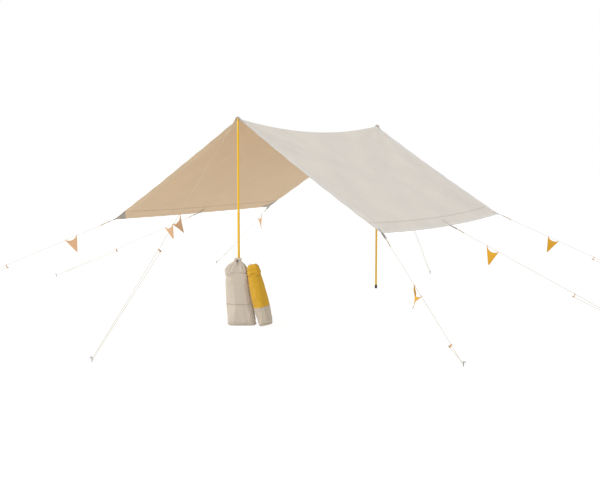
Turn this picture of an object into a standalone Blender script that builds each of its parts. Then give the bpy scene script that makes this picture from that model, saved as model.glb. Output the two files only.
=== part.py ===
"""Camping tarp pitched as a gable on two poles, with eight guy lines and its two bags.

Frame: metres, +Z up, +Y along the ridge from the front pole to the rear pole.
The origin is on the ground, at the middle of the whole footprint.
Sizes below are measured from the middle of the ridge, on the ground between the poles.
"""
import math

import bmesh
import bpy
from mathutils import Matrix, Vector

# Clearance between pieces that touch
GAP = 0.0003

# The cloth
POLE_SPAN = 3.00
RIDGE_END = 1.487
APEX_HEIGHT = 2.09
RIDGE_SAG = 0.107
HALF_WIDTH = 1.66
EAVE_HEIGHT = 1.01
EAVE_PULL = 0.03
EAVE_SHIFT = -0.022
FRONT_CORNER_REACH = {-1: (-0.023, -0.009), 1: (0.0, 0.0)}
EAVE_DROP = {-1: 0.010, 1: 0.033}
EAVE_TILT = {-1: 0.0, 1: 0.014}
EDGE_HOLLOW = {(-1, -1): 0.010, (-1, 1): 0.010, (1, -1): 0.018, (1, 1): 0.014}
CLOTH_THICKNESS = 0.004
SLANT = math.hypot(HALF_WIDTH, APEX_HEIGHT - EAVE_HEIGHT)
CLOTH_COLUMNS = 16
CLOTH_ROWS = 10
NORMAL_STEP = 0.01

# The poles, from the ground up
FOOT_RADIUS = 0.016
FOOT_HEIGHT = 0.045
FOOT_SOLE = 0.008
FOOT_CHAMFER = 0.002
LOWER_RADIUS = 0.0125
LOWER_TOP = 1.14
UPPER_RADIUS = 0.0110
UPPER_TOP = 1.94
TIP_RADIUS = 0.0095
TUBE_WALL = 0.0012
SLEEVE_OVERLAP = 0.10
SPIKE_RADIUS = 0.004
SPIKE_RISE = 0.026
SPIKE_POINT = 0.002
SPIKE_POINT_SHARE = 0.6
POLE_SIDES = 24

# Webbing and rings
WEB_WIDTH = 0.020
WEB_THICKNESS = 0.003
CORNER_INSET = 0.075
SIDE_INSET = 0.110
WEB_REACH = 0.060
WEB_LIFT = 0.0008
WEB_LIP = 0.012
RING_DISTANCE = 0.070
RING_RADIUS = 0.012
RING_WIRE = 0.0025
APEX_STRAP_HALF = 0.070
APEX_STRAP_SWEEP = 0.030
APEX_STRAP_FLAT = 0.014
APEX_STRAP_LIFT = 0.0010
APEX_STRAP_WIDTH = 0.028
APEX_HOLE_RADIUS = 0.0046
DRILL_LENGTH = 0.04
RING_ROUNDS = 20
RING_SECTIONS = 8

# The cords, runners and pennants
CORD_RADIUS = 0.0020
EYE_RADIUS = 0.0065
LEG_OFFSET = 0.0024
EYE_LENGTH = 0.030
EYE_END_SHARE = 1.25
EYE_LEG_SHARE = 0.75
RUNNER_LENGTH = 0.046
RUNNER_WIDTH = 0.014
RUNNER_THICKNESS = 0.006
RUNNER_PITCH = 0.032
RUNNER_HOLE = 0.0026
CORD_TAIL = 0.012
HOLE_RUN = 0.010
PENNANT_WIDTH = 0.140
PENNANT_HEIGHT = 0.170
PENNANT_DIP = 0.030
PENNANT_THICKNESS = 0.002
PENNANT_SLEEVE = 0.016
PENNANT_SLEEVE_WALL = 0.0016
PENNANT_RIM = 0.0008
PENNANT_CORNER = 0.006
PENNANT_TIP = 0.004
SLEEVE_SIDES = 12

# The pegs, cut off at the ground
PEG_RADIUS = 0.004
PEG_HEIGHT = 0.045
PEG_HOOK = 0.012
LOOP_HEIGHT = 0.018

# Each line: its upper end, its peg, how far the runner is from the peg, how far the middle
# of the pennant is from the upper end, and how far its tip hangs down the line
LINES = {
    "front_left": {"top": (-1, -1), "peg": (-3.77, -2.68), "runner": 1.22, "pennant": 0.540, "slip": 0.0},
    "mid_left": {"top": (-1, 0), "peg": (-4.35, 0.05), "runner": 1.27, "pennant": 0.525, "slip": -0.010},
    "rear_left": {"top": (-1, 1), "peg": (-3.39, 2.52), "runner": 0.99, "pennant": 0.345, "slip": 0.030},
    "front_right": {"top": (1, -1), "peg": (2.69, -2.07), "runner": 0.21, "pennant": 0.73, "slip": 0.050},
    "mid_right": {"top": (1, 0), "peg": (3.71, 0.03), "runner": 0.79, "pennant": 0.522, "slip": 0.035},
    "rear_right": {"top": (1, 1), "peg": (3.50, 2.74), "runner": 1.17, "pennant": 0.735, "slip": 0.0},
    "front": {"top": (0, -1), "peg": (0.0, -3.58), "runner": 1.21, "pennant": 1.37, "slip": 0.025},
    "rear": {"top": (0, 1), "peg": (0.0, 3.18), "runner": 1.20, "pennant": 1.30, "slip": 0.010},
}

# The bags, standing turned beside the front pole. The tarp bag has its half width, half depth
# and drift aside at each height, the pole bag its share of the full section.
BAG_TURN = math.radians(32.5)
TARP_BAG_ASIDE = 0.036
TARP_BAG_STAND = 0.0767
TARP_BAG_SECTIONS = [
    (0.000, 0.134, 0.048, 0.000), (0.012, 0.147, 0.060, -0.002), (0.130, 0.139, 0.064, -0.013),
    (0.270, 0.136, 0.062, -0.023), (0.450, 0.129, 0.058, -0.042), (0.555, 0.122, 0.052, -0.053),
    (0.580, 0.110, 0.046, -0.056), (0.620, 0.080, 0.034, -0.050), (0.655, 0.048, 0.020, -0.041),
    (0.690, 0.022, 0.012, -0.036),
]
POLE_BAG_ASIDE = 0.2808
POLE_BAG_STAND = 0.138
POLE_BAG_LEAN = math.radians(12.5)
POLE_BAG_HALF_WIDTH = 0.072
POLE_BAG_HALF_DEPTH = 0.052
POLE_BAG_LENGTH = 0.630
POLE_BAG_BASE = 0.190
POLE_BAG_BASE_SECTIONS = [(0.0, 0.90), (0.012, 0.98), (0.095, 1.04), (POLE_BAG_BASE - GAP, 1.08)]
POLE_BAG_BODY_SECTIONS = [(POLE_BAG_BASE, 1.08), (0.30, 1.08), (0.43, 1.01), (0.56, 0.96),
                          (0.605, 0.84), (POLE_BAG_LENGTH, 0.58)]
BAG_SIDES = 24
BAG_CORNER_ACROSS = 0.55
BAG_CORNER_DEEP = 0.75

# Colours read as sRGB, then roughness and metallic
FINISHES = {
    "cotton": ("#D6CFC6", 0.95, 0.0),
    "webbing": ("#8E867E", 0.80, 0.0),
    "pole_paint": ("#D9AE12", 0.40, 0.3),
    "black_plastic": ("#1C1C1C", 0.50, 0.0),
    "cord": ("#DAD3C4", 0.85, 0.0),
    "runner_plastic": ("#C4841C", 0.45, 0.0),
    "mustard_cotton": ("#CC9A22", 0.90, 0.0),
    "peg_steel": ("#6E7072", 0.35, 1.0),
    "bag_cotton": ("#CBBFAE", 0.95, 0.0),
}


def srgb(text):
    """Linear red, green and blue from a hex colour."""
    def channel(start):
        value = int(text[start:start + 2], 16) / 255
        return value / 12.92 if value <= 0.04045 else ((value + 0.055) / 1.055) ** 2.4
    return channel(1), channel(3), channel(5)


def finish(name):
    """The material of this name, made the first time it is asked for."""
    if name in bpy.data.materials:
        return bpy.data.materials[name]
    colour, roughness, metallic = FINISHES[name]
    material = bpy.data.materials.new(name)
    material.use_nodes = True
    shader = material.node_tree.nodes["Principled BSDF"]
    shader.inputs["Base Color"].default_value = (*srgb(colour), 1.0)
    shader.inputs["Roughness"].default_value = roughness
    shader.inputs["Metallic"].default_value = metallic
    return material


def add_object(name, data, material):
    """Link an object that holds this mesh or curve, under the tarp's empty."""
    piece = bpy.data.objects.new(name, data)
    bpy.context.scene.collection.objects.link(piece)
    piece.parent = TARP
    if not data.materials:
        data.materials.append(finish(material))
    return piece


def mesh_from(name, bm, smooth=False):
    """A mesh from a bmesh, with its faces turned outwards."""
    bmesh.ops.remove_doubles(bm, verts=bm.verts, dist=1e-6)
    bmesh.ops.recalc_face_normals(bm, faces=bm.faces)
    mesh = bpy.data.meshes.new(name)
    bm.to_mesh(mesh)
    bm.free()
    if smooth:
        mesh.shade_smooth()
        mesh.set_sharp_from_angle(angle=math.radians(40))
    return mesh


def skin_rings(bm, rings, closed=False):
    """Join rings of equal count with quads, then cap the two ends unless closed."""
    loops = [[bm.verts.new(point) for point in ring] for ring in rings]
    pairs = list(zip(loops, loops[1:]))
    if closed:
        pairs.append((loops[-1], loops[0]))
    for low, high in pairs:
        for i in range(len(low)):
            j = (i + 1) % len(low)
            bm.faces.new((low[i], low[j], high[j], high[i]))
    if not closed:
        bm.faces.new(loops[0])
        bm.faces.new(loops[-1])


def turned(name, profile, material, sides=POLE_SIDES):
    """A turned piece around its own Z axis from a closed profile of (radius, height).

    A profile that starts and ends on the axis makes a solid, any other a hollow ring.
    """
    bm = bmesh.new()
    verts = [bm.verts.new((radius, 0, height)) for radius, height in profile]
    edges = [bm.edges.new(pair) for pair in zip(verts, verts[1:])]
    if profile[0][0] > 0:
        edges.append(bm.edges.new((verts[-1], verts[0])))
    bmesh.ops.spin(bm, geom=verts + edges, cent=(0, 0, 0), axis=(0, 0, 1),
                   angle=math.tau, steps=sides, use_merge=True)
    return add_object(name, mesh_from(name, bm, smooth=True), material)


def tube(name, points, radius, material):
    """A round bar or cord along straight runs between its points."""
    curve = bpy.data.curves.new(name, "CURVE")
    curve.dimensions = "3D"
    curve.bevel_depth = radius
    curve.bevel_resolution = 2
    curve.use_fill_caps = True
    spline = curve.splines.new("POLY")
    spline.points.add(len(points) - 1)
    for slot, point in zip(spline.points, points):
        slot.co = (*point, 1.0)
    return add_object(name, curve, material)


def cloth_point(side, u, v):
    """The cloth's upper face: u from front (-1) to rear (+1), v from ridge (0) to eave (1)."""
    belly = 1 - u * u
    rear_share = (1 + u) / 2
    ridge = Vector((0, u * RIDGE_END, APEX_HEIGHT - RIDGE_SAG * belly))
    eave = Vector((side * (HALF_WIDTH + EAVE_PULL * belly) + EAVE_SHIFT, u * POLE_SPAN / 2,
                   EAVE_HEIGHT + EAVE_TILT[side] * rear_share - EAVE_DROP[side] * belly))
    eave += Vector((*FRONT_CORNER_REACH[side], 0)) * (1 - rear_share)
    hollow = EDGE_HOLLOW[side, -1] * (1 - rear_share) + EDGE_HOLLOW[side, 1] * rear_share
    inward = -Vector((side * (APEX_HEIGHT - EAVE_HEIGHT), 0, HALF_WIDTH)).normalized()
    return ridge.lerp(eave, v) + inward * hollow * 4 * v * (1 - v)


def cloth_normal(side, u, v):
    """The upward normal of the cloth."""
    step = NORMAL_STEP
    along = cloth_point(side, u + step, v) - cloth_point(side, u - step, v)
    down = cloth_point(side, u, v + step) - cloth_point(side, u, v - step)
    normal = along.cross(down).normalized()
    return normal if normal.z > 0 else -normal


def cloth_panel(name, side):
    """One slope of the cloth, a thin solid that meets its neighbour at the ridge."""
    slope = math.atan2(APEX_HEIGHT - EAVE_HEIGHT, HALF_WIDTH)
    drop = Vector((0, 0, CLOTH_THICKNESS / math.cos(slope)))
    shift = Vector((side * GAP / 2, 0, 0))
    bm = bmesh.new()
    rings = []
    for column in range(CLOTH_COLUMNS + 1):
        u = 2 * column / CLOTH_COLUMNS - 1
        top = [cloth_point(side, u, row / CLOTH_ROWS) + shift for row in range(CLOTH_ROWS + 1)]
        rings.append(top + [point - drop for point in reversed(top)])
    skins = [[bm.verts.new(point) for point in ring] for ring in rings]
    count = len(skins[0])
    for near, far in zip(skins, skins[1:]):
        for i in range(count):
            j = (i + 1) % count
            bm.faces.new((near[i], near[j], far[j], far[i]))
    for end in (skins[0], skins[-1]):
        for row in range(CLOTH_ROWS):
            bm.faces.new((end[row], end[row + 1], end[count - 2 - row], end[count - 1 - row]))
    return add_object(name, mesh_from(name, bm), "cotton")


def pole(name, y):
    """A pole of two tubes, a tip with a spike and a foot cap, standing at this end."""
    wall = TUBE_WALL
    spike_top = APEX_HEIGHT + SPIKE_RISE
    foot = turned(name + "_foot", [
        (0, 0), (FOOT_RADIUS, 0), (FOOT_RADIUS, FOOT_HEIGHT - FOOT_CHAMFER),
        (FOOT_RADIUS - FOOT_CHAMFER, FOOT_HEIGHT), (LOWER_RADIUS + GAP, FOOT_HEIGHT),
        (LOWER_RADIUS + GAP, FOOT_SOLE), (0, FOOT_SOLE)], "black_plastic")
    lower = turned(name + "_lower", [
        (LOWER_RADIUS, FOOT_SOLE + GAP), (LOWER_RADIUS, LOWER_TOP),
        (LOWER_RADIUS - wall, LOWER_TOP), (LOWER_RADIUS - wall, FOOT_SOLE + GAP)], "pole_paint")
    upper = turned(name + "_upper", [
        (UPPER_RADIUS, LOWER_TOP - SLEEVE_OVERLAP), (UPPER_RADIUS, UPPER_TOP),
        (UPPER_RADIUS - wall, UPPER_TOP), (UPPER_RADIUS - wall, LOWER_TOP - SLEEVE_OVERLAP)],
        "pole_paint")
    tip = turned(name + "_tip", [
        (0, UPPER_TOP - SLEEVE_OVERLAP), (TIP_RADIUS, UPPER_TOP - SLEEVE_OVERLAP),
        (TIP_RADIUS, APEX_HEIGHT), (SPIKE_RADIUS, APEX_HEIGHT),
        (SPIKE_RADIUS, spike_top - SPIKE_POINT),
        (SPIKE_RADIUS * SPIKE_POINT_SHARE, spike_top), (0, spike_top)], "pole_paint")
    for piece in (foot, lower, upper, tip):
        piece.location = (0, y, 0)


def strip(bm, stations, width, thickness):
    """A flat strip through stations of (middle of its lower face, across, up)."""
    rings = []
    for middle, across, up in stations:
        side = across.normalized() * width / 2
        rise = up.normalized() * thickness
        rings.append([middle - side, middle + side, middle + side + rise, middle - side + rise])
    skin_rings(bm, rings)


def hidden(name, bm):
    """A shape that only a Boolean uses."""
    shape = add_object(name, mesh_from(name, bm), "black_plastic")
    shape.hide_render = True
    shape.display_type = "WIRE"
    return shape


def drill(name, radius, length, place):
    """A hidden upright round bar that a Boolean takes away."""
    bm = bmesh.new()
    bmesh.ops.create_cone(bm, cap_ends=True, segments=16, radius1=radius, radius2=radius,
                          depth=length, matrix=Matrix.Translation(place))
    return hidden(name, bm)


def cut(piece, tool, operation="DIFFERENCE"):
    """Cut a piece with a tool, or join the tool to it."""
    modifier = piece.modifiers.new(operation.lower(), "BOOLEAN")
    modifier.operation = operation
    modifier.object = tool


def apex_strap(name, end):
    """The webbing over one end of the ridge, with the hole that the pole's spike goes through."""
    arms = []
    for side in (-1, 1):
        arm = []
        for share in (1.0, 0.5):
            u = end * (1 - APEX_STRAP_SWEEP * (share - 0.5) * 2 / RIDGE_END)
            v = APEX_STRAP_HALF * share / SLANT
            run = cloth_point(side, u + NORMAL_STEP, v) - cloth_point(side, u - NORMAL_STEP, v)
            normal = cloth_normal(side, u, v)
            arm.append((cloth_point(side, u, v) + normal * APEX_STRAP_LIFT, run, Vector((0, 0, 1))))
        crown = Vector((side * APEX_STRAP_FLAT, end * POLE_SPAN / 2, APEX_HEIGHT + GAP))
        arm.append((crown, Vector((0, 1, 0)), Vector((0, 0, 1))))
        arms.append(arm)
    bm = bmesh.new()
    strip(bm, arms[0] + arms[1][::-1], APEX_STRAP_WIDTH, WEB_THICKNESS)
    piece = add_object(name, mesh_from(name, bm), "webbing")
    crown = Vector((0, end * POLE_SPAN / 2, APEX_HEIGHT))
    cut(piece, drill(name + "_hole", APEX_HOLE_RADIUS, DRILL_LENGTH, crown))


def line_frame(line):
    """Where a line starts on the cloth, and its outward, sideways and upward directions."""
    side, end = line["top"]
    peg = Vector((*line["peg"], LOOP_HEIGHT))
    if side == 0:
        start = Vector((0, end * POLE_SPAN / 2, APEX_HEIGHT + GAP + WEB_THICKNESS))
    else:
        start = cloth_point(side, end, 1.0)
    out = (peg - start).normalized()
    across = Vector((0, 0, 1)).cross(out).normalized()
    return start, out, across, out.cross(across), peg


def web_tab(name, line):
    """The webbing sewn to the edge of the cloth, with the ring that the line ties to."""
    side, end = line["top"]
    start, out, across, up, _ = line_frame(line)
    v_inset = (CORNER_INSET if end else SIDE_INSET) / SLANT
    u_inset = end * CORNER_INSET / POLE_SPAN
    stations = []
    outward = start - cloth_point(side, end - u_inset, 1 - v_inset)
    for share in (1.0, 0.5, 0.0):
        u, v = end - u_inset * share, 1 - v_inset * share
        normal = cloth_normal(side, u, v)
        place = cloth_point(side, u, v) + normal * WEB_LIFT
        stations.append((place, outward.cross(normal), normal))
    lip = place + outward.normalized() * WEB_LIP
    stations += [(lip, outward.cross(normal), normal), (start + out * WEB_REACH, -across, up)]
    bm = bmesh.new()
    strip(bm, stations, WEB_WIDTH, WEB_THICKNESS)
    piece = add_object(name, mesh_from(name, bm), "webbing")
    bm = bmesh.new()
    centre = start + out * RING_DISTANCE + up * (WEB_THICKNESS / 2)
    turns = [math.tau * section / RING_SECTIONS for section in range(RING_SECTIONS)]
    rings = []
    for step in range(RING_ROUNDS):
        angle = math.tau * step / RING_ROUNDS
        radial = out * math.cos(angle) + across * math.sin(angle)
        rings.append([centre + radial * (RING_RADIUS + RING_WIRE * math.cos(turn))
                      + up * RING_WIRE * math.sin(turn) for turn in turns])
    skin_rings(bm, rings, closed=True)
    cut(piece, hidden(name + "_ring", bm), "UNION")


def eye_points(line):
    """The eye at the top of a line: through its ring, or round the spike of a pole."""
    side, _ = line["top"]
    start, out, across, up, _ = line_frame(line)
    if side:
        near = RING_RADIUS - RING_WIRE - 2 * GAP - CORD_RADIUS
        centre = start + out * (RING_DISTANCE + near + EYE_RADIUS) + up * (WEB_THICKNESS / 2)
        sideways, radius, away = up, EYE_RADIUS, out
    else:
        centre = start + Vector((0, 0, GAP + CORD_RADIUS))
        away = Vector((0, out.y, 0)).normalized()
        sideways, radius = across, SPIKE_RADIUS + 2 * GAP + CORD_RADIUS
    far, near = away * EYE_LENGTH * EYE_END_SHARE, away * EYE_LENGTH * EYE_LEG_SHARE
    points = [centre + far + sideways * LEG_OFFSET, centre + near + sideways * LEG_OFFSET]
    for degrees in range(100, -101, -25):
        angle = math.radians(degrees)
        points.append(centre - away * radius * math.cos(angle) + sideways * radius * math.sin(angle))
    points.append(centre + near - sideways * LEG_OFFSET)
    return points


def runner_place(line):
    """The middle of the runner's upper hole, and the line's direction there."""
    _, out, across, up, loop = line_frame(line)
    return loop - out * line["runner"], out, across, up


def guy_line(name, line):
    """One cord: eye, long run, runner, round the peg and back to the runner."""
    hole, out, across, up = runner_place(line)
    peg_loop = line_frame(line)[-1]
    plan = Vector((out.x, out.y, 0)).normalized()
    loop = PEG_RADIUS + 2 * GAP + CORD_RADIUS
    points = eye_points(line) + [hole - out * HOLE_RUN, hole + out * HOLE_RUN]
    for degrees in range(-90, 91, 30):
        angle = math.radians(degrees)
        points.append(peg_loop + across * loop * math.sin(angle) + plan * loop * math.cos(angle))
    lower = hole - up * RUNNER_PITCH
    points += [lower + out * HOLE_RUN, lower - out * CORD_TAIL]
    tube(name, points, CORD_RADIUS, "cord")


def frame_matrix(x, y, z, place):
    """A matrix from three axes and a place."""
    return Matrix.Translation(place) @ Matrix((x, y, z)).transposed().to_4x4()


def runner_mesh():
    """A flat bar with two holes: length along X, the holes along Z."""
    bm = bmesh.new()
    rings = []
    for z in (-RUNNER_THICKNESS / 2, RUNNER_THICKNESS / 2):
        ring = []
        for end in (1, -1):
            for step in range(9):
                angle = math.pi * (step / 8 - 0.5) + (0 if end > 0 else math.pi)
                ring.append((end * (RUNNER_LENGTH - RUNNER_WIDTH) / 2 + RUNNER_WIDTH / 2 * math.cos(angle),
                             RUNNER_WIDTH / 2 * math.sin(angle), z))
        rings.append(ring)
    skin_rings(bm, rings)
    blank = add_object("runner_blank", mesh_from("runner_blank", bm), "runner_plastic")
    tools = [drill("runner_hole", RUNNER_HOLE, DRILL_LENGTH, Vector((x, 0, 0)))
             for x in (-RUNNER_PITCH / 2, RUNNER_PITCH / 2)]
    for tool in tools:
        cut(blank, tool)
    bpy.context.view_layer.update()
    mesh = bpy.data.meshes.new_from_object(blank.evaluated_get(bpy.context.evaluated_depsgraph_get()))
    for spare in [blank] + tools:
        bpy.data.objects.remove(spare)
    return mesh


def runner(name, line, mesh):
    """The runner across the two strands of a line."""
    hole, out, _, up = runner_place(line)
    piece = add_object(name, mesh, "runner_plastic")
    piece.matrix_local = frame_matrix(up, out.cross(up), out, hole - up * RUNNER_PITCH / 2)


def pennant_mesh(slip):
    """A three-cornered flag: X along the cord, Z away from it, with a sleeve at each corner."""
    bm = bmesh.new()
    half = PENNANT_WIDTH / 2
    inner = CORD_RADIUS + GAP
    rim = inner + PENNANT_RIM
    outline = [(-half, -rim)]
    for step in range(1, 8):
        x = half * (step / 4 - 1)
        outline.append((x, -rim - PENNANT_DIP * (1 - (x / half) ** 2)))
    outline += [(half, -rim), (half, -rim - PENNANT_CORNER), (slip + PENNANT_TIP, -PENNANT_HEIGHT),
                (slip - PENNANT_TIP, -PENNANT_HEIGHT), (-half, -rim - PENNANT_CORNER)]
    rings = [[(x, y, z) for x, z in outline] for y in (-PENNANT_THICKNESS / 2, PENNANT_THICKNESS / 2)]
    skin_rings(bm, rings)
    cloth = add_object("pennant_blank", mesh_from("pennant_blank", bm), "mustard_cotton")
    sleeves = []
    bore = inner / math.cos(math.pi / SLEEVE_SIDES)
    outer = inner + PENNANT_SLEEVE_WALL
    turns = [math.tau * side / SLEEVE_SIDES for side in range(SLEEVE_SIDES)]
    for x in (-half + PENNANT_SLEEVE / 2, half - PENNANT_SLEEVE / 2):
        bm = bmesh.new()
        rings = []
        for radius, offset in ((bore, -1), (outer, -1), (outer, 1), (bore, 1)):
            rings.append([(x + offset * PENNANT_SLEEVE / 2, radius * math.cos(turn), radius * math.sin(turn))
                          for turn in turns])
        skin_rings(bm, rings, closed=True)
        sleeve = add_object("pennant_sleeve", mesh_from("pennant_sleeve", bm), "mustard_cotton")
        cut(cloth, sleeve, "UNION")
        sleeves.append(sleeve)
    bpy.context.view_layer.update()
    mesh = bpy.data.meshes.new_from_object(cloth.evaluated_get(bpy.context.evaluated_depsgraph_get()))
    for spare in [cloth] + sleeves:
        bpy.data.objects.remove(spare)
    return mesh


def pennant(name, line):
    """The flag that hangs from a line, its tip down."""
    start = line_frame(line)[0]
    hole, out, _, _ = runner_place(line)
    from_eye = eye_points(line)[-1]
    run = hole - out * HOLE_RUN - from_eye
    place = from_eye + run * ((line["pennant"] - (from_eye - start).length) / run.length)
    along = run.normalized()
    across = Vector((0, 0, 1)).cross(along).normalized()
    piece = add_object(name, pennant_mesh(line["slip"]), "mustard_cotton")
    piece.matrix_local = frame_matrix(along, across, along.cross(across), place)


def peg(name, line):
    """The head of a steel peg, from the ground up, with its hook turned away from the tarp."""
    start, out, *_ = line_frame(line)
    plan = Vector((out.x, out.y, 0)).normalized()
    foot = Vector((*line["peg"], 0))
    points = [foot, foot + Vector((0, 0, PEG_HEIGHT - PEG_HOOK))]
    bend = foot + plan * PEG_HOOK + Vector((0, 0, PEG_HEIGHT - PEG_HOOK))
    for degrees in range(150, -1, -30):
        angle = math.radians(degrees)
        points.append(bend + plan * PEG_HOOK * math.cos(angle) + Vector((0, 0, PEG_HOOK * math.sin(angle))))
    tube(name, points, PEG_RADIUS, "peg_steel")


def bag_ring(height, half_width, half_depth, drift=0.0):
    """A rounded rectangle seen from above."""
    ring = []
    for step in range(BAG_SIDES):
        angle = math.tau * step / BAG_SIDES
        x = math.copysign(abs(math.cos(angle)) ** BAG_CORNER_ACROSS, math.cos(angle))
        y = math.copysign(abs(math.sin(angle)) ** BAG_CORNER_DEEP, math.sin(angle))
        ring.append((x * half_width + drift, y * half_depth, height))
    return ring


def beside_pole(aside, stand):
    """A place on the ground in front of the front pole, in the bags' own turned directions."""
    right = Vector((math.cos(BAG_TURN), math.sin(BAG_TURN), 0))
    back = Vector((-right.y, right.x, 0))
    return Vector((0, -POLE_SPAN / 2, 0)) + right * aside - back * stand


def bags():
    """The tarp's bag standing against the front pole, and the pole bag that leans on it."""
    bm = bmesh.new()
    skin_rings(bm, [bag_ring(*section) for section in TARP_BAG_SECTIONS])
    bag = add_object("tarp_bag", mesh_from("tarp_bag", bm, smooth=True), "bag_cotton")
    bag.location = beside_pole(TARP_BAG_ASIDE, TARP_BAG_STAND)
    bag.rotation_euler = (0, 0, BAG_TURN)
    turn = Matrix.Rotation(BAG_TURN, 4, "Z") @ Matrix.Rotation(-POLE_BAG_LEAN, 4, "Y")
    base_half = POLE_BAG_HALF_WIDTH * POLE_BAG_BASE_SECTIONS[0][1]
    rise = Vector((0, 0, base_half * math.sin(POLE_BAG_LEAN)))
    for name, sections, material in (("pole_bag_base", POLE_BAG_BASE_SECTIONS, "bag_cotton"),
                                     ("pole_bag", POLE_BAG_BODY_SECTIONS, "mustard_cotton")):
        bm = bmesh.new()
        skin_rings(bm, [bag_ring(height, POLE_BAG_HALF_WIDTH * share, POLE_BAG_HALF_DEPTH * share)
                        for height, share in sections])
        piece = add_object(name, mesh_from(name, bm, smooth=True), material)
        place = beside_pole(POLE_BAG_ASIDE, POLE_BAG_STAND)
        piece.matrix_local = Matrix.Translation(place + rise) @ turn


def centre_footprint():
    """Move the tarp so that the origin is under the middle of its outline."""
    bpy.context.view_layer.update()
    graph = bpy.context.evaluated_depsgraph_get()
    corners = []
    for piece in TARP.children:
        if piece.hide_render:
            continue
        shape = piece.evaluated_get(graph)
        mesh = shape.to_mesh()
        corners += [shape.matrix_world @ vertex.co for vertex in mesh.vertices]
        shape.to_mesh_clear()
    for axis in (0, 1):
        values = [corner[axis] for corner in corners]
        TARP.location[axis] = -(min(values) + max(values)) / 2


for old in list(bpy.data.objects):
    bpy.data.objects.remove(old)
TARP = bpy.data.objects.new("tarp", None)
bpy.context.scene.collection.objects.link(TARP)

cloth_panel("left_panel", -1)
cloth_panel("right_panel", 1)
pole("front_pole", -POLE_SPAN / 2)
pole("rear_pole", POLE_SPAN / 2)
apex_strap("front_apex_strap", -1)
apex_strap("rear_apex_strap", 1)
RUNNER = runner_mesh()
for where, guy in LINES.items():
    if guy["top"][0]:
        web_tab("tab_" + where, guy)
    guy_line("guy_line_" + where, guy)
    runner("runner_" + where, guy, RUNNER)
    pennant("pennant_" + where, guy)
    peg("peg_" + where, guy)
bags()
centre_footprint()
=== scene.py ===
# %% [markdown]
# # A camping tarp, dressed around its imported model
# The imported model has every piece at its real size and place, but plain. This lesson gives each piece
# the shape and finish of the real one: folded hems, stitches, webbing, wound cord ends, two-ply
# pennants and two sewn bags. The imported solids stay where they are, and new pieces are built on them.

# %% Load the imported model
import math

import bmesh
import bpy
from mathutils import Matrix, Vector, noise
from mathutils.bvhtree import BVHTree


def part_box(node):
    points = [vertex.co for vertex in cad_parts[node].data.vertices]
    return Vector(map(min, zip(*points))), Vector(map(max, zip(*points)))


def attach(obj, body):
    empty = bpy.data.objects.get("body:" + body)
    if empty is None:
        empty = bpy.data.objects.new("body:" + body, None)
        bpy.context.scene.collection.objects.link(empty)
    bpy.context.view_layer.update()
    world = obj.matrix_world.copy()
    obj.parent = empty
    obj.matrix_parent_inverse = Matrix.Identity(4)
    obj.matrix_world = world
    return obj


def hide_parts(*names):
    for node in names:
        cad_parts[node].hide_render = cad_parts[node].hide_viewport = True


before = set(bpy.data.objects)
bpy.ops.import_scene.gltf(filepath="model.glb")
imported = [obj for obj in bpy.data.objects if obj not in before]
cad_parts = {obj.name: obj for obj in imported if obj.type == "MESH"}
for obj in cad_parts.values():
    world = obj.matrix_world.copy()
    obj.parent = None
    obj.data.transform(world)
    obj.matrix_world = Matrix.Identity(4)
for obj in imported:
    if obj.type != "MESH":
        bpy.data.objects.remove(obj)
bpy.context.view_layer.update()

MM = 0.001
UP = Vector((0, 0, 1))

# %% [markdown]
# ## Camera
# The photograph was taken by someone standing, with a short telephoto. The two poles stand on the
# ground, so their packed feet give the middle of the ridge, and the camera is placed from there.

# %% Camera
front_foot = sum(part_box("front_pole_foot"), Vector()) / 2
rear_foot = sum(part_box("rear_pole_foot"), Vector()) / 2
MIDDLE = Vector(((front_foot.x + rear_foot.x) / 2, (front_foot.y + rear_foot.y) / 2, 0))
POLE_SPAN = rear_foot.y - front_foot.y

FRAME_WIDTH_PIXELS = 600
FOCAL_PIXELS = 922
SENSOR_WIDTH = 36.0
CAMERA_PLACE = Vector((5.55, -9.05, 1.73))
CAMERA_PITCH, CAMERA_YAW = math.radians(5.30), math.radians(32.5)

lens = bpy.data.cameras.new("camera")
lens.sensor_width = SENSOR_WIDTH
lens.lens = FOCAL_PIXELS / FRAME_WIDTH_PIXELS * SENSOR_WIDTH
camera = bpy.data.objects.new("camera", lens)
camera.location = MIDDLE + CAMERA_PLACE
camera.rotation_euler = (math.pi / 2 - CAMERA_PITCH, 0, CAMERA_YAW)
bpy.context.scene.collection.objects.link(camera)
bpy.context.scene.camera = camera
print("camera:", round(lens.lens, 1), "mm, at", [round(c, 2) for c in camera.location])

# %% [markdown]
# ## Shapes that several pieces share
# Nearly every piece here is either a grid of points or a row of rings joined into a skin, so two
# functions cover them. Both give each face a UV map in metres, so that a weave keeps its real size.


# %% Mesh from points and faces
def make_object(name, points, faces, uvs, materials, slots=None, smooth=True, sharp=40):
    """An object whose faces each have one UV place per corner, in metres."""
    mesh = bpy.data.meshes.new(name)
    mesh.from_pydata([tuple(p) for p in points], [], faces)
    layer = mesh.uv_layers.new(name="UVMap")
    layer.data.foreach_set("uv", [value for face in uvs for place in face for value in place])
    for material in materials:
        mesh.materials.append(material)
    if slots:
        mesh.polygons.foreach_set("material_index", slots)
    if smooth:
        mesh.shade_smooth()
        mesh.set_sharp_from_angle(angle=math.radians(sharp))
    piece = bpy.data.objects.new(name, mesh)
    bpy.context.scene.collection.objects.link(piece)
    return piece


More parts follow.
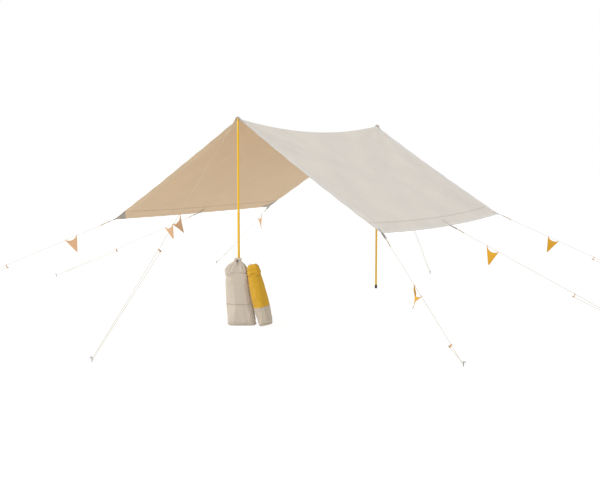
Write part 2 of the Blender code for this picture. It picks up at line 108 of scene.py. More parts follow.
def loft(name, rings, materials, slots=None, closed=False, caps=True, smooth=True, sharp=40):
    """Skin a row of rings that have the same number of points. slots gives a material to each side."""
    count = len(rings[0])
    order = rings + [rings[0]] if closed else rings
    centres = [sum(ring, Vector()) / count for ring in order]
    along = [0.0]
    for near, far in zip(centres, centres[1:]):
        along.append(along[-1] + (far - near).length)
    around = [0.0]
    for i in range(count):
        around.append(around[-1] + (rings[0][(i + 1) % count] - rings[0][i]).length)
    faces, uvs, index = [], [], []
    for r in range(len(order) - 1):
        near, far = r * count, (r + 1) % len(rings) * count
        for i in range(count):
            j = (i + 1) % count
            faces.append((near + i, near + j, far + j, far + i))
            uvs.append(((along[r], around[i]), (along[r], around[i + 1]),
                        (along[r + 1], around[i + 1]), (along[r + 1], around[i])))
            index.append(slots[i] if slots else 0)
    if caps and not closed:
        for r, turn in ((0, -1), (len(rings) - 1, 1)):
            faces.append(tuple(r * count + i for i in range(count))[::turn])
            uvs.append(tuple((p.x, p.y) for p in rings[r])[::turn])
            index.append(0)
    points = [p for ring in rings for p in ring]
    if volume(points, faces) < 0:
        faces = [face[::-1] for face in faces]
        uvs = [place[::-1] for place in uvs]
    return make_object(name, points, faces, uvs, materials, index, smooth, sharp)


def volume(points, faces):
    """Six times the volume inside the faces, negative if they point inwards."""
    total = 0.0
    for face in faces:
        a = points[face[0]]
        for b, c in zip(face[1:], face[2:]):
            total += a.dot(points[b].cross(points[c]))
    return total


# %% Paths, sweeps and turned shapes
def smooth_path(points, spacing):
    """A smooth curve through the points, with a point about every spacing metres."""
    dense = [points[0]]
    for i in range(len(points) - 1):
        a, b = points[i], points[i + 1]
        before = points[i - 1] if i else a + (a - b)
        after = points[i + 2] if i + 2 < len(points) else b + (b - a)
        steps = max(1, math.ceil((b - a).length / spacing))
        for step in range(1, steps + 1):
            t = step / steps
            dense.append(0.5 * (2 * a + (b - before) * t + (2 * before - 5 * a + 4 * b - after) * t ** 2
                                + (3 * a - before - 3 * b + after) * t ** 3))
    return dense


def split_runs(points, longest):
    """The same straight runs with points no further apart than this."""
    out = [points[0]]
    for a, b in zip(points, points[1:]):
        steps = max(1, math.ceil((b - a).length / longest))
        out += [a.lerp(b, step / steps) for step in range(1, steps + 1)]
    return out


def sweep(name, path, radius, materials, sides=8, closed=False, squash=1.0, sideways=None):
    """A round bar along a path. radius is one number or a function of the place along it, 0 to 1."""
    size = radius if callable(radius) else lambda share: radius
    rings, across = [], sideways
    for i, point in enumerate(path):
        ahead = path[(i + 1) % len(path)] if closed or i + 1 < len(path) else point
        behind = path[i - 1] if closed or i else point
        tangent = (ahead - behind).normalized()
        if across is None:
            across = tangent.orthogonal()
        across = (across - tangent * across.dot(tangent)).normalized()
        up = tangent.cross(across)
        r = size(i / max(1, len(path) - 1))
        rings.append([point + across * r * math.cos(a) + up * r * squash * math.sin(a)
                      for a in (math.tau * s / sides for s in range(sides))])
    return loft(name, rings, materials, closed=closed)


def turned(name, profile, place, materials, sides=32, axis=UP, sharp=35):
    """Turn a profile of (radius, height) around an axis at this place."""
    across = axis.orthogonal().normalized()
    forward = axis.cross(across)
    rings = [[place + axis * height + (across * math.cos(a) + forward * math.sin(a)) * max(radius, 1e-5)
              for a in (math.tau * s / sides for s in range(sides))] for radius, height in profile]
    return loft(name, rings, materials, sharp=sharp)


def join(name, pieces):
    """Join pieces into one object at the origin, keeping their materials and UV maps."""
    with bpy.context.temp_override(active_object=pieces[0], selected_editable_objects=pieces,
                                   object=pieces[0], selected_objects=pieces):
        bpy.ops.object.join()
    pieces[0].name = name
    pieces[0].data.name = name
    return pieces[0]


def triangles(piece):
    return sum(len(face.vertices) - 2 for face in piece.data.polygons)


def place(piece, slot, *replaced):
    """Hand a finished piece to the frame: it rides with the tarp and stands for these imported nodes."""
    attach(piece, "root")
    if replaced:
        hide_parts(*replaced)
    return piece


# %% [markdown]
# ## Finishes
# Each material starts from what the real thing is made of. One function adds a node with its settings
# and links, and another turns a hex colour into the linear values that Blender works in.


# %% Node and colour helpers
def colour(text):
    """An sRGB hex colour as linear red, green, blue and alpha."""
    values = [int(text[i:i + 2], 16) / 255 for i in (1, 3, 5)]
    return (*(v / 12.92 if v <= 0.04045 else ((v + 0.055) / 1.055) ** 2.4 for v in values), 1.0)


def add(tree, kind, inputs=None, **settings):
    """Add a node, set its properties, and feed its inputs from values or other outputs."""
    node = tree.nodes.new(kind)
    for name, value in settings.items():
        setattr(node, name, value)
    for socket, value in (inputs or {}).items():
        if isinstance(value, bpy.types.Node):
            value = value.outputs[0]
        if isinstance(value, bpy.types.NodeSocket):
            tree.links.new(value, node.inputs[socket])
        else:
            node.inputs[socket].default_value = value
    return node


def new_material(name, roughness, metallic=0.0, **sockets):
    """A Principled material. Returns it with its tree and its shader."""
    material = bpy.data.materials.new(name)
    material.use_nodes = True
    shader = material.node_tree.nodes["Principled BSDF"]
    shader.inputs["Roughness"].default_value = roughness
    shader.inputs["Metallic"].default_value = metallic
    for socket, value in sockets.items():
        shader.inputs[socket.replace("_", " ")].default_value = value
    return material, material.node_tree, shader


def wave_scale(millimetres):
    """The scale at which Blender's wave texture repeats at this pitch."""
    return math.tau / 20 / (millimetres * MM)


# %% [markdown]
# ### Woven cotton
# The tarp and bags are plain-woven cotton canvas. It is matt, its threads cross over and under, and
# thicker threads, called slubs, run a hand's width before they fade. The real threads are about 0.6 mm
# apart, too fine to show, so the weave here is drawn at 2 mm.


# %% Woven cotton
def woven_cotton(name, face, thread=2.0, mottle=0.05, slub=0.035, depth=0.25, warm=None):
    material, tree, shader = new_material(name, 0.92, Sheen_Weight=0.12, Sheen_Roughness=0.6)
    uv = add(tree, "ShaderNodeUVMap", uv_map="UVMap")
    warp = add(tree, "ShaderNodeTexWave", {"Vector": uv, "Scale": wave_scale(thread), "Distortion": 0.6,
                                           "Detail": 1.0}, bands_direction="X")
    weft = add(tree, "ShaderNodeTexWave", {"Vector": uv, "Scale": wave_scale(thread), "Distortion": 0.6,
                                           "Detail": 1.0}, bands_direction="Y")
    over = add(tree, "ShaderNodeMath", {0: warp.outputs["Fac"], 1: weft.outputs["Fac"]},
               operation="MULTIPLY")
    cloud = add(tree, "ShaderNodeTexNoise", {"Vector": uv, "Scale": 2.2, "Detail": 4.0})
    long_threads = add(tree, "ShaderNodeMapping", {"Vector": uv, "Scale": (7.0, 420.0, 1.0)})
    cross_threads = add(tree, "ShaderNodeMapping", {"Vector": uv, "Scale": (420.0, 7.0, 1.0)})
    slubs = [add(tree, "ShaderNodeTexNoise", {"Vector": m, "Scale": 1.0, "Detail": 1.0})
             for m in (long_threads, cross_threads)]
    both = add(tree, "ShaderNodeMath", {0: slubs[0].outputs["Fac"], 1: slubs[1].outputs["Fac"]},
               operation="ADD")
    shade = add(tree, "ShaderNodeMapRange", {"Value": cloud.outputs["Fac"], "From Min": 0.3,
                                             "From Max": 0.7, "To Min": 1 - mottle, "To Max": 1 + mottle})
    thread_shade = add(tree, "ShaderNodeMapRange", {"Value": both, "From Min": 0.7, "From Max": 1.3,
                                                    "To Min": 1 - slub, "To Max": 1 + slub})
    value = add(tree, "ShaderNodeMath", {0: shade, 1: thread_shade}, operation="MULTIPLY")
    tint = add(tree, "ShaderNodeMix", {0: cloud.outputs["Fac"], 6: colour(face), 7: colour(warm or face)},
               data_type="RGBA")
    dyed = add(tree, "ShaderNodeHueSaturation", {"Color": tint.outputs[2], "Value": value})
    tree.links.new(dyed.outputs["Color"], shader.inputs["Base Color"])
    height = add(tree, "ShaderNodeMath", {0: over, 1: both}, operation="ADD")
    bump = add(tree, "ShaderNodeBump", {"Height": height, "Strength": 0.35, "Distance": depth * MM})
    tree.links.new(bump.outputs["Normal"], shader.inputs["Normal"])
    return material


canvas_outside = woven_cotton("natural_canvas_outside", "#CCC6BE", warm="#CEC5BA")
canvas_inside = woven_cotton("natural_canvas_inside", "#C7AD8A", warm="#C9AC88", mottle=0.03)
hem_outside = woven_cotton("natural_canvas_doubled_outside", "#CECAC4")
hem_inside = woven_cotton("natural_canvas_doubled_inside", "#CBB391")
# The folded edge is painted a darker tan, as painted shade along the fold.
hem_fold_painted_shade = woven_cotton("natural_canvas_folded_edge_painted_shade", "#B39A78")
seam_outside = woven_cotton("natural_canvas_seam_outside", "#C2BCB4")
seam_inside = woven_cotton("natural_canvas_seam_inside", "#B89F7E")
bag_canvas = woven_cotton("natural_canvas_bag", "#BBAFA1", warm="#B8AB9A", mottle=0.04)
# The pole bag's cream base panel is real, but its tone is painted darker than the bag's own canvas, as
# painted shade at the bag's foot.
base_canvas_with_painted_shade = woven_cotton("natural_canvas_pole_bag_base_with_painted_shade", "#B3A797", warm="#AFA18E", mottle=0.05)
bag_seam_canvas = woven_cotton("natural_canvas_bag_seam", "#A99C8B", mottle=0.04)
mustard_canvas = woven_cotton("mustard_canvas_bag", "#C29614", warm="#BB8D12", mottle=0.05)
pennant_mustard = woven_cotton("mustard_cotton_pennant", "#D19A1A", thread=1.5)
pennant_tan = woven_cotton("tan_cotton_pennant", "#C39A74", thread=1.5)
print("woven cottons:", [m.name for m in bpy.data.materials if "canvas" in m.name or "cotton" in m.name])


# %% [markdown]
# ### Webbing, thread and cord
# Webbing is woven in herringbone ribs, thread shines a little, and guy line is braided from strands
# that cross at an angle. Each pattern follows the piece's own UV map, so it bends with the piece.


# %% Webbing, thread and cord
def webbing(name, face, rib):
    material, tree, shader = new_material(name, 0.72, Sheen_Weight=0.25, Sheen_Roughness=0.4)
    uv = add(tree, "ShaderNodeUVMap", uv_map="UVMap")
    ribs = [add(tree, "ShaderNodeTexWave",
                {"Vector": add(tree, "ShaderNodeMapping", {"Vector": uv, "Rotation": (0, 0, turn)}),
                 "Scale": wave_scale(rib)}) for turn in (math.pi / 4, -math.pi / 4)]
    weave = add(tree, "ShaderNodeMath", {0: ribs[0].outputs["Fac"], 1: ribs[1].outputs["Fac"]},
                operation="MULTIPLY")
    shade = add(tree, "ShaderNodeMapRange", {"Value": weave, "To Min": 0.82, "To Max": 1.12})
    dyed = add(tree, "ShaderNodeHueSaturation", {"Color": colour(face), "Value": shade})
    tree.links.new(dyed.outputs["Color"], shader.inputs["Base Color"])
    bump = add(tree, "ShaderNodeBump", {"Height": weave, "Strength": 0.6, "Distance": 0.4 * MM})
    tree.links.new(bump.outputs["Normal"], shader.inputs["Normal"])
    return material


def braided(name, face, fleck, strand, share=0.2):
    """Braided cord: u runs along it, v round it, so crossed bands make the strands."""
    material, tree, shader = new_material(name, 0.70, Sheen_Weight=0.2)
    uv = add(tree, "ShaderNodeUVMap", uv_map="UVMap")
    bands = [add(tree, "ShaderNodeTexWave",
                 {"Vector": add(tree, "ShaderNodeMapping", {"Vector": uv, "Rotation": (0, 0, turn)}),
                  "Scale": wave_scale(strand)}) for turn in (0.6, -0.6)]
    strands = add(tree, "ShaderNodeMath", {0: bands[0].outputs["Fac"], 1: bands[1].outputs["Fac"]},
                  operation="MAXIMUM")
    flecked = add(tree, "ShaderNodeMapRange", {"Value": bands[0].outputs["Fac"], "From Min": 1 - share,
                                               "From Max": 1.0})
    tint = add(tree, "ShaderNodeMix", {0: flecked, 6: colour(face), 7: colour(fleck)}, data_type="RGBA")
    tree.links.new(tint.outputs[2], shader.inputs["Base Color"])
    bump = add(tree, "ShaderNodeBump", {"Height": strands, "Strength": 0.7, "Distance": 0.5 * MM})
    tree.links.new(bump.outputs["Normal"], shader.inputs["Normal"])
    return material


def speckled(name, face, roughness, variation, grain, metallic=0.0, depth=0.05, **sockets):
    """A coat or moulding: one colour with a slight unevenness, and a grain that shows in its gloss."""
    material, tree, shader = new_material(name, roughness, metallic, **sockets)
    here = add(tree, "ShaderNodeTexCoord")
    spots = add(tree, "ShaderNodeTexNoise", {"Vector": here.outputs["Object"],
                                             "Scale": 1 / (grain * MM), "Detail": 3.0})
    shade = add(tree, "ShaderNodeMapRange", {"Value": spots.outputs["Fac"], "From Min": 0.3, "From Max": 0.7,
                                             "To Min": 1 - variation, "To Max": 1 + variation})
    coat = add(tree, "ShaderNodeHueSaturation", {"Color": colour(face), "Value": shade})
    tree.links.new(coat.outputs["Color"], shader.inputs["Base Color"])
    gloss = add(tree, "ShaderNodeMapRange", {"Value": spots.outputs["Fac"], "To Min": roughness - 0.06,
                                             "To Max": roughness + 0.06})
    tree.links.new(gloss.outputs[0], shader.inputs["Roughness"])
    bump = add(tree, "ShaderNodeBump", {"Height": spots.outputs["Fac"], "Strength": 0.3,
                                        "Distance": depth * MM})
    tree.links.new(bump.outputs["Normal"], shader.inputs["Normal"])
    return material


grey_webbing = webbing("polyester_webbing_grey", "#918982", 1.6)
pale_webbing = webbing("polyester_webbing_pale_grey", "#B3AFB3", 1.6)
mustard_tape = webbing("cotton_tape_mustard", "#C8921C", 1.2)
guy_braid = braided("braided_guy_line_cream", "#BBB097", "#9C8C6E", 2.2)
drawcord_braid = braided("braided_drawcord_grey", "#B5AFA6", "#8C867C", 1.6)
wound_thread = speckled("waxed_thread_mustard", "#B0904F", 0.55, 0.12, 3.0)
pale_thread = speckled("cotton_thread_pale", "#C9C0B2", 0.70, 0.06, 2.0)
dark_thread = speckled("cotton_thread_tan", "#B09A7C", 0.70, 0.06, 2.0)
pole_coat = speckled("powder_coated_steel_mustard", "#DDAE10", 0.34, 0.04, 2.5, depth=0.03)
rubber_foot = speckled("moulded_rubber_black", "#161616", 0.62, 0.15, 1.2)
runner_mould = speckled("moulded_nylon_mustard", "#C4841C", 0.38, 0.05, 2.0)
dark_steel = speckled("blackened_steel_wire", "#5B5A5C", 0.36, 0.08, 1.5, metallic=0.9)
peg_zinc = speckled("galvanised_steel", "#9A9C9E", 0.42, 0.12, 4.0, metallic=1.0)
eyelet_metal = speckled("nickel_plated_brass", "#B9B4AA", 0.28, 0.04, 3.0, metallic=1.0)
dark_plastic = speckled("moulded_plastic_charcoal", "#3A3735", 0.45, 0.08, 1.5)
print("materials so far:", len(bpy.data.materials))

# %% [markdown]
# ## The cloth's shape
# The tarp is one flat sheet hung from two points and pulled out by six lines. Cloth pulled like that
# takes a saddle shape: the ridge sags, the eaves sag and the slopes hollow a little. One formula gives every
# point of it, so hems, seams and webbing that are sewn to the cloth can ask for the same place.

# %% Sizes of the cloth
RIDGE_END, APEX_HEIGHT, RIDGE_SAG = 1.487, 2.09, 0.107
HALF_WIDTH, EAVE_HEIGHT, EAVE_PULL, EAVE_SHIFT = 1.66, 1.01, 0.03, -0.022
EAVE_DROP = {-1: 0.010, 1: 0.033}
EAVE_TILT = {-1: 0.0, 1: 0.014}
FRONT_CORNER_REACH = {-1: (-0.023, -0.009), 1: (0.0, 0.0)}
EDGE_HOLLOW = {(-1, -1): 0.010, (-1, 1): 0.010, (1, -1): 0.018, (1, 1): 0.014}
SLANT = math.hypot(HALF_WIDTH, APEX_HEIGHT - EAVE_HEIGHT)
CLOTH_THICKNESS = 1.0 * MM
SIDES = {"left": -1, "right": 1}
ENDS = {"front": -1, "rear": 1}


# %% The smooth saddle
def saddle(side, u, v):
    """A point of the pulled cloth: u from front (-1) to rear (+1), v from ridge (0) to eave (1)."""
    belly = 1 - u * u
    rear_share = (1 + u) / 2
    ridge = Vector((0, u * RIDGE_END, APEX_HEIGHT - RIDGE_SAG * belly))
    eave = Vector((side * (HALF_WIDTH + EAVE_PULL * belly) + EAVE_SHIFT, u * POLE_SPAN / 2,
                   EAVE_HEIGHT + EAVE_TILT[side] * rear_share - EAVE_DROP[side] * belly))
    eave += Vector((*FRONT_CORNER_REACH[side], 0)) * (1 - rear_share)
    hollow = EDGE_HOLLOW[side, -1] * (1 - rear_share) + EDGE_HOLLOW[side, 1] * rear_share
    inward = -Vector((side * (APEX_HEIGHT - EAVE_HEIGHT), 0, HALF_WIDTH)).normalized()
    return MIDDLE + ridge.lerp(eave, v) + inward * hollow * 4 * v * (1 - v)


def saddle_normal(side, u, v):
    step = 0.01
    along = saddle(side, u + step, v) - saddle(side, u - step, v)
    down = saddle(side, u, v + step) - saddle(side, u, v - step)
    normal = along.cross(down).normalized()
    return normal if normal.z > 0 else -normal


# %% [markdown]
# Folds run out like rays from each place that pulls the cloth, and fade with distance. Between them a
# slow unevenness keeps the cloth from looking pressed. Both are only a few millimetres.

# %% Tension folds
PULLS = [(-1, 0, 5.0, 13), (1, 0, 6.0, 15), (-1, 1, 4.0, 11), (1, 1, 5.0, 12), (0, 1, 3.0, 7)]
FOLD_REACH = 0.75
EDGE_RIPPLE, EDGE_RIPPLE_LENGTH, EDGE_RIPPLE_DEPTH = 1.6 * MM, 0.23, 0.16


def folds(side, u, v):
    """How far the cloth stands out from the saddle, in metres."""
    x, y = u * POLE_SPAN / 2, v * SLANT
    height = 0.0
    for pull_u, pull_v, size, rays in PULLS:
        dx, dy = x - pull_u * POLE_SPAN / 2, y - pull_v * SLANT
        distance = math.hypot(dx, dy)
        angle = math.atan2(dy, dx)
        fade = distance / (distance + 0.10) * math.exp(-distance / FOLD_REACH)
        wander = 1.2 * noise.noise(Vector((pull_u * 3.1, pull_v * 5.3, angle * 1.7 + side)))
        height += size * MM * fade * math.cos(rays * angle + wander * 3)
    height += 2.2 * MM * noise.noise(Vector((x * 1.9, y * 1.9, side * 4.0)))
    edge = min((1 - abs(u)) * POLE_SPAN / 2, (1 - v) * SLANT)
    height += (EDGE_RIPPLE * math.exp(-edge / EDGE_RIPPLE_DEPTH)
               * math.sin(math.tau * (x + y) / EDGE_RIPPLE_LENGTH))
    return height * min(1.0, v * SLANT / 0.12)


def canvas(side, u, v, lift=0.0):
    """A point on the cloth's outer face, or this far outside it along its normal."""
    return saddle(side, u, v) + saddle_normal(side, u, v) * (folds(side, u, v) + lift)


# %% [markdown]
# The sheet is a grid of points with an outer and an inner face a millimetre apart. It could be one face
# and a Solidify modifier, but here the two faces need different colours: cotton canvas looks cream
# from outside and a warm tan from inside, where the light comes through it.

# %% The sheet
COLUMNS, ROWS = 140, 92


def tarp_sheet():
    outer, inner, flat = [], [], []
    for i in range(COLUMNS + 1):
        u = 2 * i / COLUMNS - 1
        for j in range(-ROWS, ROWS + 1):
            side, v = (-1 if j < 0 else 1), abs(j) / ROWS
            top = canvas(side, u, v)
            below = UP if j == 0 else saddle_normal(side, u, v)
            outer.append(top)
            inner.append(top - below * CLOTH_THICKNESS)
            flat.append((u * POLE_SPAN / 2, side * v * SLANT))
    width, count = 2 * ROWS + 1, len(outer)
    faces, uvs, slots = [], [], []

    def face(corners, slot):
        faces.append(corners)
        uvs.append([flat[c % count] for c in corners])
        slots.append(slot)

    for i in range(COLUMNS):
        for j in range(width - 1):
            a, b = i * width + j, (i + 1) * width + j
            face((a, b, b + 1, a + 1), 0)
            face((a + 1 + count, b + 1 + count, b + count, a + count), 1)
    rim = [i * width for i in range(COLUMNS + 1)]
    rim += [COLUMNS * width + j for j in range(1, width)]
    rim += [i * width + width - 1 for i in range(COLUMNS - 1, -1, -1)]
    rim += [j for j in range(width - 2, 0, -1)]
    for a, b in zip(rim, rim[1:] + rim[:1]):
        face((a, a + count, b + count, b), 0)
    return make_object("tarp_cloth", outer + inner, faces, uvs, [canvas_outside, canvas_inside], slots)


tarp_cloth = place(tarp_sheet(), "cotton", "left_panel", "right_panel")
print("cloth:", triangles(tarp_cloth), "triangles")

# %% [markdown]
# ## Hems and seams
# The raw edges are folded under and sewn down, and a second strip is sewn in a hand's width above each
# eave. Each is a thin flat band that wraps the cloth and follows its folds, so it is lofted from
# rings that ask the cloth for their places. The fold itself is painted darker than the flat of the hem:
# painted shade along the folded edge.

# %% Hem and seam bands
SIDE_HEM, EAVE_HEM, EAVE_SEAM, SEAM_WIDTH = 0.095, 0.035, 0.170, 0.014
HEM_LIFT = 0.9 * MM
HEM_NOSE = 2.0 * MM
BAND_STEPS = 90


def band_ring(at, near, far, wraps):
    """One ring of a band whose width runs from near to far, in metres from the cloth's edge."""
    widths = [far + (near - far) * k / 4 for k in range(5)]
    outer = [at(w, HEM_LIFT) for w in widths]
    inner = [at(w, -CLOTH_THICKNESS - HEM_LIFT) for w in reversed(widths)]
    if not wraps:
        return outer + inner
    nose = (at(near, -CLOTH_THICKNESS / 2) - at(near + 0.01, -CLOTH_THICKNESS / 2)).normalized()
    fold = [at(near, lift) + nose * HEM_NOSE * out for lift, out in
            ((HEM_LIFT * 0.9, 0.5), (0.0, 0.9), (-CLOTH_THICKNESS / 2, 1.0), (-CLOTH_THICKNESS, 0.9),
             (-CLOTH_THICKNESS - HEM_LIFT * 0.9, 0.5))]
    return outer + fold + inner


def band(name, at, near, far, wraps, steps=BAND_STEPS, faces=None):
    """A band along a path. at(share, width, lift) gives its places."""
    rings = [band_ring(lambda w, lift: at(k / steps, w, lift), near, far, wraps) for k in range(steps + 1)]
    # The fold's faces (slot 2) take the darker canvas, which is painted shade along the folded edge.
    slots = [0] * 4 + ([2] * 6 if wraps else [1]) + [1] * 4 + [1]
    return loft(name, rings, faces or [hem_outside, hem_inside, hem_fold_painted_shade], slots, sharp=60)


def side_edge(side, end):
    """Places by share of the way from the ridge down a front or rear edge."""
    return lambda share, width, lift: canvas(side, end * (1 - 2 * width / POLE_SPAN), share, lift)


def eave_edge(side):
    return lambda share, width, lift: canvas(side, 2 * share - 1, 1 - width / SLANT, lift)


hems = []
for side_name, side in SIDES.items():
    for end_name, end in ENDS.items():
        hems.append(band("hem", side_edge(side, end), 0.0, SIDE_HEM, True))
    hems.append(band("hem", eave_edge(side), 0.0, EAVE_HEM, True))
tarp_hems = place(join("tarp_hems", hems), "cotton")
seams = [band("seam", eave_edge(side), EAVE_SEAM - SEAM_WIDTH / 2, EAVE_SEAM + SEAM_WIDTH / 2, False,
              faces=[seam_outside, seam_inside]) for side in SIDES.values()]
tarp_seams = place(join("tarp_eave_seams", seams), "cotton")
print("hems:", triangles(tarp_hems), "seams:", triangles(tarp_seams), "triangles")

# %% [markdown]
# ### Stitches
# A seam is held by two rows of lock stitches. Thousands of small alike things along a path is what
# Geometry Nodes are for: the tree puts a small bead of thread at every pitch, turned along the path.
# A real stitch is 3 mm long, and these are drawn at 8 mm so that a row still reads as stitches.


# %% A tree that repeats a bead along a path
def bead_tree(name, shape, shape_inputs):
    tree = bpy.data.node_groups.new(name, "GeometryNodeTree")
    tree.interface.new_socket("Paths", in_out="INPUT", socket_type="NodeSocketGeometry")
    for socket in ("Pitch", "Length", "Radius"):
        tree.interface.new_socket(socket, in_out="INPUT", socket_type="NodeSocketFloat")
    tree.interface.new_socket("Thread", in_out="INPUT", socket_type="NodeSocketMaterial")
    tree.interface.new_socket("Beads", in_out="OUTPUT", socket_type="NodeSocketGeometry")
    given = add(tree, "NodeGroupInput")
    spaced = add(tree, "GeometryNodeResampleCurve", {"Curve": given.outputs["Paths"],
                                                     "Length": given.outputs["Pitch"]}, mode="LENGTH")
    bead = add(tree, shape, shape_inputs)
    size = add(tree, "ShaderNodeCombineXYZ", {"X": given.outputs["Length"], "Y": given.outputs["Radius"],
                                              "Z": given.outputs["Radius"]})
    ahead = add(tree, "GeometryNodeInputTangent")
    turn = add(tree, "FunctionNodeAlignRotationToVector", {"Vector": ahead}, axis="X")
    beads = add(tree, "GeometryNodeInstanceOnPoints", {"Points": spaced, "Instance": bead,
                                                       "Rotation": turn, "Scale": size})
    real = add(tree, "GeometryNodeRealizeInstances", {"Geometry": beads})
    soft = add(tree, "GeometryNodeSetShadeSmooth", {"Geometry": real})
    dressed = add(tree, "GeometryNodeSetMaterial", {"Geometry": soft, "Material": given.outputs["Thread"]})
    add(tree, "NodeGroupOutput", {"Beads": dressed})
    return tree


def along_paths(name, paths, tree, **values):
    """Run a tree on these paths and return the result as a plain mesh object."""
    curve = bpy.data.curves.new(name, "CURVE")
    curve.dimensions = "3D"
    for path in paths:
        spline = curve.splines.new("POLY")
        spline.points.add(len(path) - 1)
        spline.points.foreach_set("co", [value for p in path for value in (*p, 1.0)])
    source = bpy.data.objects.new(name, curve)
    bpy.context.scene.collection.objects.link(source)
    modifier = source.modifiers.new("repeat", "NODES")
    modifier.node_group = tree
    for item in tree.interface.items_tree:
        if item.in_out == "INPUT" and item.name in values:
            modifier[item.identifier] = values[item.name]
    graph = bpy.context.evaluated_depsgraph_get()
    mesh = bpy.data.meshes.new_from_object(source.evaluated_get(graph))
    bpy.data.objects.remove(source)
    piece = bpy.data.objects.new(name, mesh)
    bpy.context.scene.collection.objects.link(piece)
    return piece


stitch_tree = bead_tree("stitch", "GeometryNodeMeshIcoSphere", {"Radius": 1.0, "Subdivisions": 1})
STITCH = {"Pitch": 8 * MM, "Length": 3.1 * MM, "Radius": 0.55 * MM}

# %% Stitch the hems and seams
STITCH_INSET = 5 * MM
EDGE_ROW = 22 * MM
PATH_STEPS = 120


def stitch_rows(lift):
    """Rows along every hem and seam, this far outside the cloth."""
    rows = []
    for side in SIDES.values():
        for end in ENDS.values():
            rows += [[side_edge(side, end)(k / PATH_STEPS, w, lift) for k in range(PATH_STEPS + 1)]
                     for w in (SIDE_HEM - STITCH_INSET, EDGE_ROW)]
        rows += [[eave_edge(side)(k / PATH_STEPS, w, lift) for k in range(PATH_STEPS + 1)]
                 for w in (EAVE_HEM - STITCH_INSET, EAVE_SEAM - SEAM_WIDTH / 2 + 2 * MM,
                           EAVE_SEAM + SEAM_WIDTH / 2 - 2 * MM)]
    return rows


outer_rows, inner_rows = stitch_rows(HEM_LIFT), stitch_rows(-CLOTH_THICKNESS - HEM_LIFT)
tarp_stitches = place(along_paths("tarp_stitches_outside", outer_rows, stitch_tree, Thread=pale_thread,
                                  **STITCH), "cotton")
under_stitches = place(along_paths("tarp_stitches_inside", inner_rows, stitch_tree, Thread=dark_thread,
                                   **STITCH), "cotton")
print("stitches:", triangles(tarp_stitches) + triangles(under_stitches), "triangles")

# %% [markdown]
# ### Corner patches
# Each corner is doubled on its inner side with a grey patch, which spreads the pull of the line into
# the cloth. It is a triangle with its long side across the corner, turned in and sewn down.

# %% Corner patches
PATCH_LEG = 0.18
PATCH_LIFT = 0.7 * MM
PATCH_STEPS = 14


def corner_patch(side, end):
    """A thin triangle on the inner face, from the corner out along both edges."""
    def at(across, share, depth):
        reach = PATCH_LEG * share
        u = end * (1 - 2 * reach * across / POLE_SPAN)
        return canvas(side, u, 1 - reach * (1 - across) / SLANT, depth)

    skin = -CLOTH_THICKNESS - HEM_LIFT
    rings = []
    for k in range(PATCH_STEPS + 1):
        share = max(0.03, k / PATCH_STEPS)
        edge = [at(n / 8, share, skin) for n in range(9)]
        rings.append(edge + [at(n / 8, share, skin - PATCH_LIFT) for n in range(8, -1, -1)])
    return loft("corner_patch", rings, [grey_webbing], sharp=50)


patches = place(join("tarp_corner_patches", [corner_patch(side, end) for side in SIDES.values()
                                             for end in ENDS.values()]), "webbing")
print("corner patches:", triangles(patches), "triangles")

# %% [markdown]
# ## Webbing at the ends of the ridge
# Each end of the ridge hangs on a strap of grey webbing with an eyelet that drops over the pole's
# spike. The strap lies on both slopes, so the ends of its path are asked from the cloth, and between
# them it stands up in a small arch round the pole's tip.

# %% Flat strips along a path
STRAP_THICKNESS = 2.4 * MM
STRAP_LIFT = 1.0 * MM


def strap(name, stations, width, thickness, materials, spacing=0.004):
    """Webbing through stations of (middle of its lower face, across, up), with rounded edges."""
    middles = smooth_path([s[0] for s in stations], spacing)
    rings = []
    for i, middle in enumerate(middles):
        share = i / (len(middles) - 1) * (len(stations) - 1)
        low = min(int(share), len(stations) - 2)
        t = share - low
        across = stations[low][1].normalized().lerp(stations[low + 1][1].normalized(), t).normalized()
        up = stations[low][2].normalized().lerp(stations[low + 1][2].normalized(), t)
        up = (up - across * up.dot(across)).normalized()
        half, edge = width / 2, thickness / 2
        profile = [(-half + edge * 0.4, 0), (0, 0), (half - edge * 0.4, 0), (half, edge),
                   (half - edge * 0.4, thickness), (0, thickness), (-half + edge * 0.4, thickness),
                   (-half, edge)]
        rings.append([middle + across * x + up * z for x, z in profile])
    return loft(name, rings, materials, sharp=50)


def even_stations(stations, spacing):
    """The same stations with more between them on long runs, so that directions turn evenly."""
    out = [stations[0]]
    for a, b in zip(stations, stations[1:]):
        steps = max(1, math.ceil((b[0] - a[0]).length / spacing))
        out += [tuple(p.lerp(q, k / steps) for p, q in zip(a, b)) for k in range(1, steps + 1)]
    return out


# %% Apex straps with their eyelets
APEX_HALF, APEX_SWEEP, APEX_WIDTH = 0.070, 0.030, 0.028
ARCH_RISE = 14 * MM
ARCH = [(23 * MM, -4 * MM, 1.05), (15 * MM, 8 * MM, 0.75)]
EYELET_INNER, EYELET_OUTER = 4.8 * MM, 9.5 * MM


